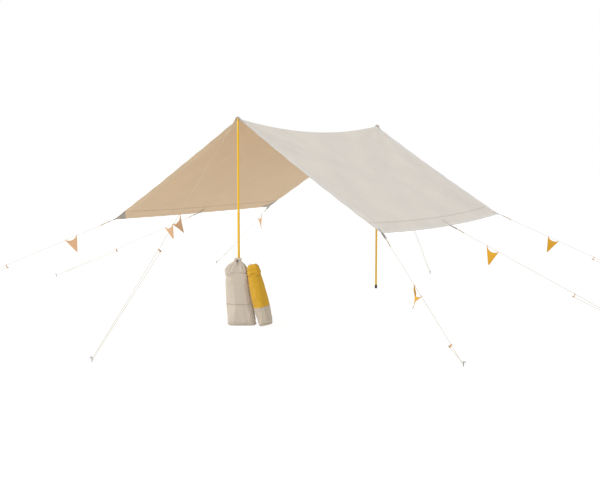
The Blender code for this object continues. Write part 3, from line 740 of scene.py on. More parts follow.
def apex_strap(end):
    arms = []
    for side in (-1, 1):
        arm = []
        for share in (1.0, 0.8, 0.6, 0.45):
            u = end * (1 - APEX_SWEEP * (share - 0.5) * 2 / RIDGE_END)
            v = APEX_HALF * share / SLANT
            run = canvas(side, u + 0.01, v) - canvas(side, u - 0.01, v)
            arm.append((canvas(side, u, v, STRAP_LIFT), run, saddle_normal(side, u, v)))
        for x, rise, lean in ARCH:
            place_on = MIDDLE + Vector((side * x, end * POLE_SPAN / 2, APEX_HEIGHT + rise))
            arm.append((place_on, Vector((0, 1, 0)), Vector((side * math.sin(lean), 0, math.cos(lean)))))
        arms.append(arm)
    crown = MIDDLE + Vector((0, end * POLE_SPAN / 2, APEX_HEIGHT + ARCH_RISE))
    path = arms[0] + [(crown, Vector((0, 1, 0)), UP)] + arms[1][::-1]
    piece = strap("apex_strap", path, APEX_WIDTH, STRAP_THICKNESS, [pale_webbing])
    top = crown + UP * STRAP_THICKNESS
    eyelet = turned("eyelet", [(EYELET_INNER, -STRAP_THICKNESS), (EYELET_INNER, 0.9 * MM),
                               (EYELET_INNER + 1 * MM, 1.5 * MM), (EYELET_OUTER - 1 * MM, 1.0 * MM),
                               (EYELET_OUTER, 0.1 * MM), (EYELET_OUTER, -STRAP_THICKNESS)],
                    top, [eyelet_metal], sides=28)
    return piece, eyelet


for end_name, end in ENDS.items():
    piece, eyelet = apex_strap(end)
    piece.name, eyelet.name = end_name + "_apex_webbing", end_name + "_apex_eyelet"
    place(piece, "webbing", end_name + "_apex_strap")
    place(eyelet, "peg_steel")
print("apex straps at", [name for name in ENDS])

# %% [markdown]
# ## Guy lines
# Each line is tied to a ring on a webbing tab, runs to its peg, and comes back to a runner that holds
# it tight. The lines hold the tarp up, so they are straight. Everything on a line is placed from the
# same few numbers: its upper end, its peg, and how far along it the runner and the pennant are.

# %% Where the lines go
LINES = {
    "front_left": {"top": (-1, -1), "peg": (-3.77, -2.68), "runner": 1.22, "pennant": 0.540},
    "mid_left": {"top": (-1, 0), "peg": (-4.35, 0.05), "runner": 1.27, "pennant": 0.525},
    "rear_left": {"top": (-1, 1), "peg": (-3.39, 2.52), "runner": 0.99, "pennant": 0.345},
    "front_right": {"top": (1, -1), "peg": (2.69, -2.07), "runner": 0.21, "pennant": 0.73},
    "mid_right": {"top": (1, 0), "peg": (3.71, 0.03), "runner": 0.79, "pennant": 0.522},
    "rear_right": {"top": (1, 1), "peg": (3.50, 2.74), "runner": 1.17, "pennant": 0.735},
    "front": {"top": (0, -1), "peg": (0.0, -3.58), "runner": 1.21, "pennant": 1.37},
    "rear": {"top": (0, 1), "peg": (0.0, 3.18), "runner": 1.20, "pennant": 1.30},
}
GAP = 0.3 * MM
LOOP_HEIGHT, PEG_RADIUS, PEG_HEIGHT, PEG_HOOK = 0.018, 0.004, 0.045, 0.012
CORD_RADIUS, EYE_RADIUS, LEG_OFFSET, EYE_LENGTH = 0.0020, 0.0065, 0.0024, 0.030
RUNNER_PITCH, CORD_TAIL = 0.032, 0.012
RING_DISTANCE, RING_RADIUS, RING_WIRE = 0.070, 0.012, 0.0025
PACKED_STRAP = 0.003
SPIKE_RADIUS = 0.004


def line_frame(line):
    """A line's upper end, its outward, sideways and upward directions, and its peg."""
    side, end = line["top"]
    peg = MIDDLE + Vector((*line["peg"], LOOP_HEIGHT))
    if side:
        start = saddle(side, end, 1.0)
    else:
        start = MIDDLE + Vector((0, end * POLE_SPAN / 2, APEX_HEIGHT + GAP + PACKED_STRAP))
    out = (peg - start).normalized()
    across = UP.cross(out).normalized()
    return start, out, across, out.cross(across), peg


def eye_points(line):
    """The eye at the top of a line: through its ring, or round the spike of a pole."""
    side, _ = line["top"]
    start, out, across, up, peg = line_frame(line)
    if side:
        near = RING_RADIUS - RING_WIRE - 2 * GAP - CORD_RADIUS
        centre = start + out * (RING_DISTANCE + near + EYE_RADIUS) + up * (PACKED_STRAP / 2)
        sideways, radius, away = up, EYE_RADIUS, out
    else:
        centre = start + Vector((0, 0, GAP + CORD_RADIUS))
        away = Vector((0, out.y, 0)).normalized()
        sideways, radius = across, SPIKE_RADIUS + 2 * GAP + CORD_RADIUS
    points = [centre + away * EYE_LENGTH * 1.25 + sideways * LEG_OFFSET,
              centre + away * EYE_LENGTH * 0.75 + sideways * LEG_OFFSET]
    for degrees in range(100, -101, -20):
        angle = math.radians(degrees)
        points.append(centre - away * radius * math.cos(angle) + sideways * radius * math.sin(angle))
    points.append(centre + away * EYE_LENGTH * 0.75 - sideways * LEG_OFFSET)
    return points


def runner_hole(line):
    """The middle of the runner's upper hole."""
    _, out, _, _, peg = line_frame(line)
    return peg - out * line["runner"]


# %% [markdown]
# ### The cord
# A guy line is one cord: an eye, the long run, a turn round the peg and the way back to the runner,
# where a knot stops it. It could be a curve object with a bevel, but a mesh swept along the path
# carries a UV map, which the braid follows. The knot is the curve called a trefoil.

# %% Guy lines
CORD_SPACING = 0.011
KNOT_SIZE = 2.2 * MM


def knot_path(centre, across, up, out):
    """An overhand knot as a trefoil round this place."""
    path = []
    for step in range(36):
        t = math.tau * step / 36
        path.append(centre + across * KNOT_SIZE * (math.sin(t) + 2 * math.sin(2 * t))
                    + up * KNOT_SIZE * (math.cos(t) - 2 * math.cos(2 * t))
                    - out * KNOT_SIZE * 1.1 * math.sin(3 * t))
    return path


def guy_line(line):
    _, out, across, up, peg = line_frame(line)
    hole = runner_hole(line)
    plan = Vector((out.x, out.y, 0)).normalized()
    turn = PEG_RADIUS + 2 * GAP + CORD_RADIUS
    points = eye_points(line) + [hole - out * 0.01, hole + out * 0.01]
    for degrees in range(-90, 91, 22):
        angle = math.radians(degrees)
        points.append(peg + across * turn * math.sin(angle) + plan * turn * math.cos(angle))
    lower = hole - up * RUNNER_PITCH
    points += [lower + out * 0.01, lower - out * CORD_TAIL]
    route = smooth_path(split_runs(points, 0.05), CORD_SPACING)
    cord = sweep("cord", route, CORD_RADIUS, [guy_braid], sides=8)
    knot = sweep("knot", knot_path(lower - out * CORD_TAIL, across, up, out), CORD_RADIUS * 0.95,
                 [guy_braid], sides=8, closed=True)
    return join("cord", [cord, knot])


for where, line in LINES.items():
    cord = guy_line(line)
    cord.name = "braided_line_" + where
    place(cord, "cord", "guy_line_" + where)
    length = (runner_hole(line) - line_frame(line)[0]).length
    print(where, "line:", round(length, 2), "m to its runner,", triangles(cord), "triangles")

# %% [markdown]
# ### Wound ends
# Above each eye the cord is wound with mustard thread, so that the eye can't open. Turns side by side
# along a path are again a job for Geometry Nodes: the same tree sets a thin ring at every pitch.


# %% Wound thread over the eyes
def ring_tree(name):
    """The same tree as for stitches, with a ring of thread in place of the bead."""
    tree = bead_tree(name, "GeometryNodeMeshIcoSphere", {"Radius": 1.0, "Subdivisions": 1})
    bead = next(n for n in tree.nodes if n.bl_idname == "GeometryNodeMeshIcoSphere")
    target = bead.outputs["Mesh"].links[0].to_socket
    circle = add(tree, "GeometryNodeCurvePrimitiveCircle", {"Resolution": 14, "Radius": 1.0})
    section = add(tree, "GeometryNodeCurvePrimitiveCircle", {"Resolution": 5, "Radius": 0.24})
    ring = add(tree, "GeometryNodeCurveToMesh", {"Curve": circle.outputs["Curve"],
                                                 "Profile Curve": section.outputs["Curve"]})
    upright = add(tree, "GeometryNodeTransform", {"Geometry": ring, "Rotation": (0, math.pi / 2, 0)})
    tree.nodes.remove(bead)
    tree.links.new(upright.outputs[0], target)
    return tree


winding_tree = ring_tree("winding")
WINDING_START, WINDING_LENGTH, WINDING_RADIUS = 0.004, 0.065, 3.4 * MM
WINDING = {"Pitch": 1.6 * MM, "Length": WINDING_RADIUS, "Radius": WINDING_RADIUS}


def winding_path(line):
    leg = eye_points(line)[-1]
    _, out, _, up, _ = line_frame(line)
    run = (runner_hole(line) - leg).normalized()
    other = eye_points(line)[1]
    middle = (leg + other) / 2
    steps = 24
    return [middle.lerp(leg, min(1.0, k / steps * 1.6)) + run * (WINDING_START + WINDING_LENGTH * k / steps)
            for k in range(steps + 1)]


windings = along_paths("wound_cord_ends", [winding_path(line) for line in LINES.values()], winding_tree,
                       Thread=wound_thread, **WINDING)
place(windings, "cord")
print("windings:", triangles(windings), "triangles")

# %% [markdown]
# ### Tabs and rings
# A strip of grey webbing is sewn to the cloth at each corner and mid-side, passes round a wire ring
# and comes back under the cloth. The line's eye holds the ring.

# %% Webbing tabs
WEB_WIDTH, TAB_THICKNESS = 0.020, 1.6 * MM
CORNER_INSET, SIDE_INSET, WEB_LIP = 0.075, 0.110, 0.012


def tab_stations(line):
    """Down the outer face, round the ring's near side, and back up under the cloth."""
    side, end = line["top"]
    start, out, across, up, _ = line_frame(line)
    inset_v = (CORNER_INSET if end else SIDE_INSET) / SLANT
    inset_u = end * CORNER_INSET / POLE_SPAN
    outward = start - saddle(side, end - inset_u, 1 - inset_v)
    over, under = [], []
    for share in (1.0, 0.6, 0.25, 0.0):
        u, v = end - inset_u * share, 1 - inset_v * share
        normal = saddle_normal(side, u, v)
        width = outward.cross(normal)
        over.append((canvas(side, u, v, HEM_LIFT), width, normal))
        under.append((canvas(side, u, v, -CLOTH_THICKNESS - HEM_LIFT - PATCH_LIFT), width, -normal))
    lip = outward.normalized() * WEB_LIP
    over.append((over[-1][0] + lip, over[-1][1], over[-1][2]))
    wire = start + out * (RING_DISTANCE - RING_RADIUS) + up * (PACKED_STRAP / 2)
    bend = RING_WIRE + GAP
    turn = []
    for degrees in (90, 45, 0, -45, -90):
        angle = math.radians(degrees)
        radial = up * math.sin(angle) + out * math.cos(angle)
        turn.append((wire + radial * bend, -across, radial))
    return over + turn + under[::-1]


def tab(line):
    """The webbing is pale where light falls on it, over the cloth, and grey round the ring."""
    stations = even_stations(tab_stations(line), 0.006)
    piece = strap("tab", stations, WEB_WIDTH, TAB_THICKNESS, [grey_webbing, pale_webbing], spacing=0.003)
    start, out, _, up, _ = line_frame(line)
    for face in piece.data.polygons:
        from_edge = face.center - start
        if from_edge.dot(out) < WEB_LIP / 2 and from_edge.dot(stations[0][2]) > -CLOTH_THICKNESS:
            face.material_index = 1
    return piece


def ring_path(line):
    start, out, across, up, _ = line_frame(line)
    centre = start + out * RING_DISTANCE + up * (PACKED_STRAP / 2)
    return [centre + (out * math.cos(a) + across * math.sin(a)) * RING_RADIUS
            for a in (math.tau * s / 40 for s in range(40))]


def tab_stitches(line):
    """A box with a cross inside it, sewn through the webbing on the outer face."""
    side, end = line["top"]
    stations = tab_stations(line)[:4]
    half = WEB_WIDTH / 2 - 3 * MM

    def at(share, across):
        spot = share * (len(stations) - 1)
        low = min(int(spot), len(stations) - 2)
        a, b = stations[low], stations[low + 1]
        middle, width, normal = (p.lerp(q, spot - low) for p, q in zip(a, b))
        return middle + width.normalized() * across * half + normal.normalized() * TAB_THICKNESS

    corners = [(0.06, -1), (0.06, 1), (0.80, 1), (0.80, -1), (0.06, -1), (0.80, 1), (0.80, -1), (0.06, 1)]
    path = []
    for (s0, a0), (s1, a1) in zip(corners, corners[1:]):
        path += [at(s0 + (s1 - s0) * k / 8, a0 + (a1 - a0) * k / 8) for k in range(8)]
    return path


tab_rows = []
for where, line in LINES.items():
    if not line["top"][0]:
        continue
    piece = tab(line)
    piece.name = "webbing_tab_" + where
    place(piece, "webbing", "tab_" + where)
    ring = sweep("wire_ring_" + where, ring_path(line), RING_WIRE, [dark_steel], sides=10, closed=True)
    place(ring, "peg_steel")
    tab_rows.append(tab_stitches(line))
tab_sewing = place(along_paths("tab_stitches", tab_rows, stitch_tree, Thread=pale_thread, Pitch=3.6 * MM,
                               Length=1.4 * MM, Radius=0.45 * MM), "webbing")
print("tabs:", len(tab_rows), "and", triangles(tab_sewing), "triangles of stitches")

# %% [markdown]
# ### Runners
# A runner is a small moulded bar with two holes. A flat curve with holes in it, given a thickness and
# a rounded edge, makes one at once, and turning it into a mesh lets it be placed on each line.

# %% Runners
RUNNER_LENGTH, RUNNER_WIDTH, RUNNER_THICKNESS = 0.046, 0.014, 0.006
RUNNER_HOLE, RUNNER_ROUNDING = 2.6 * MM, 1.4 * MM


def stadium(length, width, sides=12):
    """The outline of a bar with round ends."""
    outline = []
    for end in (1, -1):
        for step in range(sides + 1):
            angle = math.pi * (step / sides - 0.5) + (0 if end > 0 else math.pi)
            outline.append((end * (length - width) / 2 + width / 2 * math.cos(angle),
                            width / 2 * math.sin(angle)))
    return outline


def plate(name, outlines, thickness, rounding, matrix, materials):
    """A flat moulding from an outline and its holes, with rounded edges, at this matrix."""
    curve = bpy.data.curves.new(name, "CURVE")
    curve.dimensions = "2D"
    curve.fill_mode = "BOTH"
    curve.extrude = thickness / 2 - rounding
    curve.bevel_depth = rounding
    curve.bevel_resolution = 3
    curve.offset = -rounding
    for outline in outlines:
        spline = curve.splines.new("POLY")
        spline.points.add(len(outline) - 1)
        spline.points.foreach_set("co", [value for x, y in outline for value in (x, y, 0, 1)])
        spline.use_cyclic_u = True
    source = bpy.data.objects.new(name, curve)
    bpy.context.scene.collection.objects.link(source)
    graph = bpy.context.evaluated_depsgraph_get()
    mesh = bpy.data.meshes.new_from_object(source.evaluated_get(graph))
    bpy.data.objects.remove(source)
    shell = bmesh.new()
    shell.from_mesh(mesh)
    bmesh.ops.remove_doubles(shell, verts=shell.verts, dist=1e-6)
    bmesh.ops.recalc_face_normals(shell, faces=shell.faces)
    shell.to_mesh(mesh)
    shell.free()
    mesh.transform(matrix)
    mesh.materials.clear()
    for material in materials:
        mesh.materials.append(material)
    mesh.shade_smooth()
    mesh.set_sharp_from_angle(angle=math.radians(50))
    piece = bpy.data.objects.new(name, mesh)
    bpy.context.scene.collection.objects.link(piece)
    return piece


def axes(x, y, z, origin):
    """A matrix from three directions and a place."""
    return Matrix.Translation(origin) @ Matrix((x, y, z)).transposed().to_4x4()


def circle(x, radius, sides=16):
    return [(x + radius * math.cos(math.tau * s / sides), -radius * math.sin(math.tau * s / sides))
            for s in range(sides)]


runner_outlines = [stadium(RUNNER_LENGTH, RUNNER_WIDTH), circle(-RUNNER_PITCH / 2, RUNNER_HOLE),
                   circle(RUNNER_PITCH / 2, RUNNER_HOLE)]
for where, line in LINES.items():
    _, out, _, up, _ = line_frame(line)
    middle = runner_hole(line) - up * RUNNER_PITCH / 2
    piece = plate("moulded_runner_" + where, runner_outlines, RUNNER_THICKNESS, RUNNER_ROUNDING,
                  axes(up, out.cross(up), out, middle), [runner_mould])
    place(piece, "runner", "runner_" + where)
print("runners:", len(LINES), "of", triangles(piece), "triangles")

# %% [markdown]
# ### Pennants
# Each line carries a small three-cornered flag, so that nobody trips over it. It has a mustard face and
# a tan one, piping along its edges, and a tape loop at each upper corner that the cord runs through.

# %% Pennants
PENNANT_WIDTH, PENNANT_HEIGHT = 0.140, 0.170
PENNANT_TIP, PENNANT_CLOTH = 0.004, 1.5 * MM
PIPING_RADIUS = 1.7 * MM
LOOP_WIDTH = 0.013
PENNANT_ACROSS, PENNANT_DOWN = 20, 18


# How far each tip hangs down the line, how deep its upper edge dips, how far the cloth curls, and
# how many degrees it has turned on itself.
HANGING = {
    "front_left": (0.0, 0.028, 4, 0), "mid_left": (-0.010, 0.028, -5, 6), "rear_left": (0.030, 0.030, 7, -8),
    "front_right": (0.050, 0.058, 6, -34), "mid_right": (0.035, 0.036, -4, 5),
    "rear_right": (0.0, 0.026, 5, 0), "front": (0.025, 0.034, -6, 10), "rear": (0.010, 0.030, 5, 0),
}


def pennant_point(s, t, hanging):
    """A point of the flag: s from -1 to 1 along the cord, t from the top (0) to the tip (1)."""
    slip, dip, curl, twist = hanging
    half = (PENNANT_WIDTH / 2) * (1 - t) + PENNANT_TIP * t
    top = -CORD_RADIUS - 1 * MM - dip * (1 - s * s)
    z = top + (-PENNANT_HEIGHT - top) * t
    sway = curl * MM * math.sin(math.pi * (0.5 * s + 0.8 * t)) * (0.3 + 0.7 * t)
    turn = math.radians(twist) * min(1.0, 2.5 * t)
    return Vector((slip * t + s * half * math.cos(turn), sway + s * half * math.sin(turn), z))


def pennant_cloth(matrix, hanging):
    front, back = [], []
    for i in range(PENNANT_DOWN + 1):
        for j in range(PENNANT_ACROSS + 1):
            p = pennant_point(2 * j / PENNANT_ACROSS - 1, i / PENNANT_DOWN, hanging)
            front.append(matrix @ (p + Vector((0, -PENNANT_CLOTH / 2, 0))))
            back.append(matrix @ (p + Vector((0, PENNANT_CLOTH / 2, 0))))
    width, count = PENNANT_ACROSS + 1, len(front)
    faces, slots = [], []
    for i in range(PENNANT_DOWN):
        for j in range(PENNANT_ACROSS):
            a = i * width + j
            faces += [(a, a + width, a + width + 1, a + 1),
                      (a + 1 + count, a + width + 1 + count, a + width + count, a + count)]
            slots += [0, 1]
    last = PENNANT_DOWN * width
    rim = list(range(width)) + [i * width + width - 1 for i in range(1, PENNANT_DOWN + 1)]
    rim += [last + j for j in range(width - 2, -1, -1)] + [i * width for i in range(PENNANT_DOWN - 1, 0, -1)]
    for a, b in zip(rim, rim[1:] + rim[:1]):
        faces.append((a, b, b + count, a + count))
        slots.append(0)
    flat = [(PENNANT_WIDTH * (j / PENNANT_ACROSS), PENNANT_HEIGHT * i / PENNANT_DOWN)
            for i in range(PENNANT_DOWN + 1) for j in range(PENNANT_ACROSS + 1)]
    points = front + back
    if volume(points, faces) < 0:
        faces = [face[::-1] for face in faces]
    uvs = [[flat[c % count] for c in face] for face in faces]
    return make_object("pennant", points, faces, uvs, [pennant_mustard, pennant_tan], slots)


def pennant_trim(matrix, hanging):
    """Piping round the flag and the two loops on the cord."""
    corners = [(-1 + 2 * k / 12, 0.0) for k in range(13)]
    edges = corners + [(1, k / 14) for k in range(1, 15)] + [(-1, 1 - k / 14) for k in range(15)][:-1]
    path = [matrix @ pennant_point(s, t, hanging) for s, t in edges]
    piping = sweep("piping", path, PIPING_RADIUS, [mustard_tape], sides=7, closed=True)
    loops = []
    inner, outer = CORD_RADIUS + GAP, CORD_RADIUS + 1.7 * MM
    for end in (-1, 1):
        middle = end * (PENNANT_WIDTH - LOOP_WIDTH) / 2
        profile = [(inner, -LOOP_WIDTH / 2), (outer, -LOOP_WIDTH / 2), (outer, LOOP_WIDTH / 2),
                   (inner, LOOP_WIDTH / 2)]
        rings = [[matrix @ Vector((middle + along, radius * math.sin(a), radius * math.cos(a)))
                  for radius, along in profile] for a in (math.tau * s / 16 for s in range(16))]
        loops.append(loft("loop", rings, [mustard_tape], closed=True))
    return join("trim", [piping] + loops)


def pennant_matrix(line):
    start, out, _, _, _ = line_frame(line)
    leg = eye_points(line)[-1]
    run = runner_hole(line) - out * 0.01 - leg
    origin = leg + run * ((line["pennant"] - (leg - start).length) / run.length)
    along = run.normalized()
    across = UP.cross(along).normalized()
    return axes(along, across, along.cross(across), origin)


for where, line in LINES.items():
    matrix, hanging = pennant_matrix(line), HANGING[where]
    flag = pennant_cloth(matrix, hanging)
    flag.name = "cotton_pennant_" + where
    trim = pennant_trim(matrix, hanging)
    trim.name = "pennant_trim_" + where
    place(flag, "pennant", "pennant_" + where)
    place(trim, "pennant")
print("pennants:", len(LINES), "of", triangles(flag) + triangles(trim), "triangles")

# %% [markdown]
# ### Pegs
# Only the head of each peg is above the ground: a steel rod bent over into a hook that holds the cord.

# %% Pegs
for where, line in LINES.items():
    _, out, _, _, _ = line_frame(line)
    plan = Vector((out.x, out.y, 0)).normalized()
    foot = MIDDLE + Vector((*line["peg"], 0))
    bend = foot + plan * PEG_HOOK + UP * (PEG_HEIGHT - PEG_HOOK)
    path = [foot, foot + UP * 0.012, foot + UP * 0.022, foot + UP * (PEG_HEIGHT - PEG_HOOK)]
    path += [bend + plan * PEG_HOOK * math.cos(a) + UP * PEG_HOOK * math.sin(a)
             for a in (math.radians(degrees) for degrees in range(165, -1, -15))]
    piece = sweep("hooked_peg_" + where, path, PEG_RADIUS * 0.98, [peg_zinc], sides=14)
    place(piece, "peg_steel", "peg_" + where)
print("pegs:", len(LINES), "of", triangles(piece), "triangles")

# %% [markdown]
# ## Poles
# Each pole is three steel tubes that slide into each other, powder-coated mustard, with a rubber foot.
# Turned profiles give them their rolled rims, and a spring button shows near the top of each tube.

# %% Poles
LOWER_RADIUS, UPPER_RADIUS, TIP_RADIUS = 12.5 * MM, 11.0 * MM, 9.5 * MM
LOWER_TOP, UPPER_TOP = 1.14, 1.94
FOOT_TOP, FOOT_RADIUS = 0.045, 16 * MM
SPIKE_TOP = APEX_HEIGHT + 0.026
RIM = 0.8 * MM
BUTTON_DROP, BUTTON_RADIUS = 0.035, 3.6 * MM


def tube_profile(radius, low, high):
    """A tube closed at both ends by a rolled rim."""
    return [(radius * 0.6, low), (radius - RIM, low), (radius, low + RIM), (radius, high - 14 * MM),
            (radius + RIM, high - 12 * MM), (radius + RIM, high - RIM), (radius, high),
            (radius * 0.6, high)]


def button(centre, outward, radius):
    base = centre + outward * (radius - 1 * MM)
    dome = [(BUTTON_RADIUS, 0.0), (BUTTON_RADIUS, 1.6 * MM), (BUTTON_RADIUS * 0.8, 2.8 * MM),
            (BUTTON_RADIUS * 0.4, 3.5 * MM), (0.0, 3.7 * MM)]
    return turned("button", dome, base, [eyelet_metal], sides=16, axis=outward)


for end_name, end in ENDS.items():
    ground = MIDDLE + Vector((0, end * POLE_SPAN / 2, 0))
    name = end_name + "_pole"
    foot = turned(name + "_rubber_foot", [
        (0, 0), (FOOT_RADIUS - 1 * MM, 0), (FOOT_RADIUS, 1 * MM), (FOOT_RADIUS, 9 * MM),
        (FOOT_RADIUS - 1.5 * MM, 11 * MM), (FOOT_RADIUS - 1.2 * MM, 17 * MM),
        (FOOT_RADIUS - 0.4 * MM, 18 * MM), (FOOT_RADIUS - 0.4 * MM, 22 * MM),
        (FOOT_RADIUS - 1.2 * MM, 23 * MM), (FOOT_RADIUS - 1.2 * MM, FOOT_TOP - 2 * MM),
        (FOOT_RADIUS - 2.4 * MM, FOOT_TOP), (LOWER_RADIUS, FOOT_TOP)], ground, [rubber_foot])
    lower = turned(name + "_lower_tube", tube_profile(LOWER_RADIUS, FOOT_TOP - 10 * MM, LOWER_TOP),
                   ground, [pole_coat])
    upper = turned(name + "_upper_tube", tube_profile(UPPER_RADIUS, LOWER_TOP - 10 * MM, UPPER_TOP),
                   ground, [pole_coat])
    tip = turned(name + "_tip_rod", [
        (TIP_RADIUS, UPPER_TOP - 10 * MM), (TIP_RADIUS, APEX_HEIGHT - 3 * MM),
        (TIP_RADIUS - 1 * MM, APEX_HEIGHT - 1 * MM), (SPIKE_RADIUS + 1 * MM, APEX_HEIGHT - 1 * MM),
        (SPIKE_RADIUS, APEX_HEIGHT), (SPIKE_RADIUS, SPIKE_TOP - 4 * MM),
        (SPIKE_RADIUS * 0.7, SPIKE_TOP - 1 * MM), (0, SPIKE_TOP)], ground, [pole_coat])
    facing = Vector((math.sin(CAMERA_YAW + 0.8), -math.cos(CAMERA_YAW + 0.8), 0))
    buttons = join(name + "_spring_buttons", [
        button(ground + UP * (LOWER_TOP - BUTTON_DROP), facing, LOWER_RADIUS),
        button(ground + UP * (UPPER_TOP - BUTTON_DROP), facing, UPPER_RADIUS)])
    place(foot, "foot_plastic", name + "_foot")
    place(lower, "pole_paint", name + "_lower")
    place(upper, "pole_paint", name + "_upper")
    place(tip, "pole_paint", name + "_tip")
    place(buttons, "peg_steel")
print("poles:", list(ENDS), "with", triangles(lower), "triangles in a lower tube")

# %% [markdown]
# ## The bags
# The tarp's sack stands at the front pole with its neck drawn together, and the pole bag leans on it.
# Each is a shell lofted from rounded rings, then filled by a short cloth simulation: cloth that is a
# little too large, held at its neck and base and blown up from inside, wrinkles the way a full bag does.

# %% Where the bags stand
BAG_TURN = math.radians(32.5)
TARP_BAG_PLACE, POLE_BAG_PLACE = (0.036, 0.0767), (0.2808, 0.138)
POLE_BAG_LEAN = math.radians(12.5)
# Height, half width, half depth and drift aside of the tarp's bag
TARP_BAG_SECTIONS = [
    (0.000, 0.134, 0.048, 0.000), (0.012, 0.147, 0.060, -0.002), (0.130, 0.139, 0.064, -0.013),
    (0.270, 0.136, 0.062, -0.023), (0.450, 0.129, 0.058, -0.042), (0.555, 0.122, 0.052, -0.053),
    (0.580, 0.110, 0.046, -0.056), (0.620, 0.080, 0.034, -0.050), (0.655, 0.048, 0.020, -0.041),
    (0.690, 0.022, 0.012, -0.036),
]
# Height and share of the full section of the pole bag
POLE_BAG_SECTIONS = [
    (0.0, 0.90), (0.012, 0.98), (0.095, 1.04), (0.190, 1.08), (0.30, 1.08), (0.43, 1.01), (0.56, 0.96),
    (0.605, 0.84), (0.630, 0.58),
]
POLE_BAG_HALF_WIDTH, POLE_BAG_HALF_DEPTH, POLE_BAG_BASE = 0.072, 0.052, 0.190
bag_right = Vector((math.cos(BAG_TURN), math.sin(BAG_TURN), 0))
bag_back = Vector((-bag_right.y, bag_right.x, 0))


def beside_pole(aside, stand):
    """The matrix of a bag's own right, back and up, standing beside the front pole."""
    origin = MIDDLE + Vector((0, -POLE_SPAN / 2, 0)) + bag_right * aside - bag_back * stand
    return axes(bag_right, bag_back, UP, origin)


def bag_point(angle, half_width, half_depth, height, gather=0.0, folds_round=16):
    """A point on a rounded rectangle, pulled in between the folds of a gathered neck."""
    x = math.copysign(abs(math.cos(angle)) ** 0.55, math.cos(angle))
    y = math.copysign(abs(math.sin(angle)) ** 0.75, math.sin(angle))
    pull = 1 + gather * math.cos(folds_round * angle)
    return Vector((x * half_width * pull, y * half_depth * pull, height))


def between(sections, height):
    """The sizes at this height, read between the named sections."""
    for low, high in zip(sections, sections[1:]):
        if height <= high[0]:
            t = (height - low[0]) / (high[0] - low[0])
            return [a + (b - a) * t for a, b in zip(low[1:], high[1:])]
    return list(sections[-1][1:])


# %% Fill a bag by simulation
def evaluated_copy(piece, name):
    """A new plain mesh object from what a piece shows with its modifiers."""
    graph = bpy.context.evaluated_depsgraph_get()
    mesh = bpy.data.meshes.new_from_object(piece.evaluated_get(graph))
    copy = bpy.data.objects.new(name, mesh)
    bpy.context.scene.collection.objects.link(copy)
    return copy


def remeshed(piece, voxel):
    modifier = piece.modifiers.new("voxels", "REMESH")
    modifier.mode = "VOXEL"
    modifier.voxel_size = voxel
    copy = evaluated_copy(piece, piece.name + "_even")
    bpy.data.objects.remove(piece)
    return copy


def filled(piece, held, spare, pressure, cap, frames=20):
    """Blow the cloth up. held(point) is how firmly a point stays, spare how much too large it is."""
    group = piece.vertex_groups.new(name="held")
    for vertex in piece.data.vertices:
        group.add([vertex.index], held(vertex.co), "REPLACE")
    before = [vertex.co.copy() for vertex in piece.data.vertices]
    cloth = piece.modifiers.new("fill", "CLOTH")
    cloth.settings.quality = 5
    cloth.settings.mass = 0.25
    cloth.settings.tension_stiffness = 25
    cloth.settings.compression_stiffness = 25
    cloth.settings.bending_stiffness = 0.4
    cloth.settings.shrink_min = -spare
    cloth.settings.use_pressure = True
    cloth.settings.uniform_pressure_force = pressure
    cloth.settings.effector_weights.gravity = 0
    cloth.settings.vertex_group_mass = "held"
    scene = bpy.context.scene
    for step in range(1, frames + 1):
        scene.frame_set(step)
    copy = evaluated_copy(piece, piece.name + "_full")
    for vertex, start in zip(copy.data.vertices, before):
        move = vertex.co - start
        if move.length > cap:
            vertex.co = start + move.normalized() * cap
    bpy.data.objects.remove(piece)
    scene.frame_set(1)
    return copy


def metres_uv(piece, matrix, radius):
    """A UV map in metres wrapped round an upright bag."""
    mesh = piece.data
    layer = mesh.uv_layers.get("UVMap") or mesh.uv_layers.new(name="UVMap")
    inverse = matrix.inverted()
    for face in mesh.polygons:
        centre = inverse @ face.center
        turn = math.atan2(centre.y, centre.x)
        for corner in face.loop_indices:
            local = inverse @ mesh.vertices[mesh.loops[corner].vertex_index].co
            angle = math.atan2(local.y, local.x)
            angle += math.tau * round((turn - angle) / math.tau)
            layer.data[corner].uv = (angle * radius, local.z)


print("bags stand at", [round(c, 3) for c in beside_pole(*TARP_BAG_PLACE).translation])

# %% Shell of the tarp's bag
tarp_bag_matrix = beside_pole(*TARP_BAG_PLACE)
SHOULDER, TIED, BAG_TOP = 0.545, 0.664, TARP_BAG_SECTIONS[-1][0]
# The drawn mouth, where the cloth is tied and flares out again above the cord
MOUTH = [(0.650, 0.044, 0.025, -0.043), (TIED, 0.030, 0.018, -0.040), (0.674, 0.037, 0.022, -0.038),
         (BAG_TOP, 0.030, 0.014, -0.036)]
mouth_sections = [section for section in TARP_BAG_SECTIONS if section[0] < MOUTH[0][0]] + MOUTH
PLEATS = 15


def soft_folds(angle, height, size):
    """Shallow upright folds, this many metres deep at most."""
    place = Vector((2.2 * math.cos(angle), 2.2 * math.sin(angle), height * 1.6))
    return size * noise.noise(place) * min(1.0, height / 0.10)


def tarp_bag_ring(height, inset=0.0, count=120):
    w, d, drift = between(mouth_sections, height)
    drawn = max(0.0, (height - SHOULDER) / (BAG_TOP - SHOULDER))
    ring = []
    for s in range(count):
        angle = math.tau * s / count
        grow = soft_folds(angle, height, 9 * MM) - inset
        point = bag_point(angle, w + grow, d + grow, height, 0.20 * drawn ** 0.7, PLEATS)
        ring.append(tarp_bag_matrix @ (point + Vector((drift, 0, 0))))
    return ring


def tarp_bag_shell():
    heights = [0.0, 0.004, 0.012] + [0.012 + 0.0213 * k for k in range(1, 26)]
    heights += [0.555 + 0.0075 * k for k in range(18)] + [BAG_TOP]
    return loft("bag_shell", [tarp_bag_ring(h, 3 * MM) for h in heights], [bag_canvas])


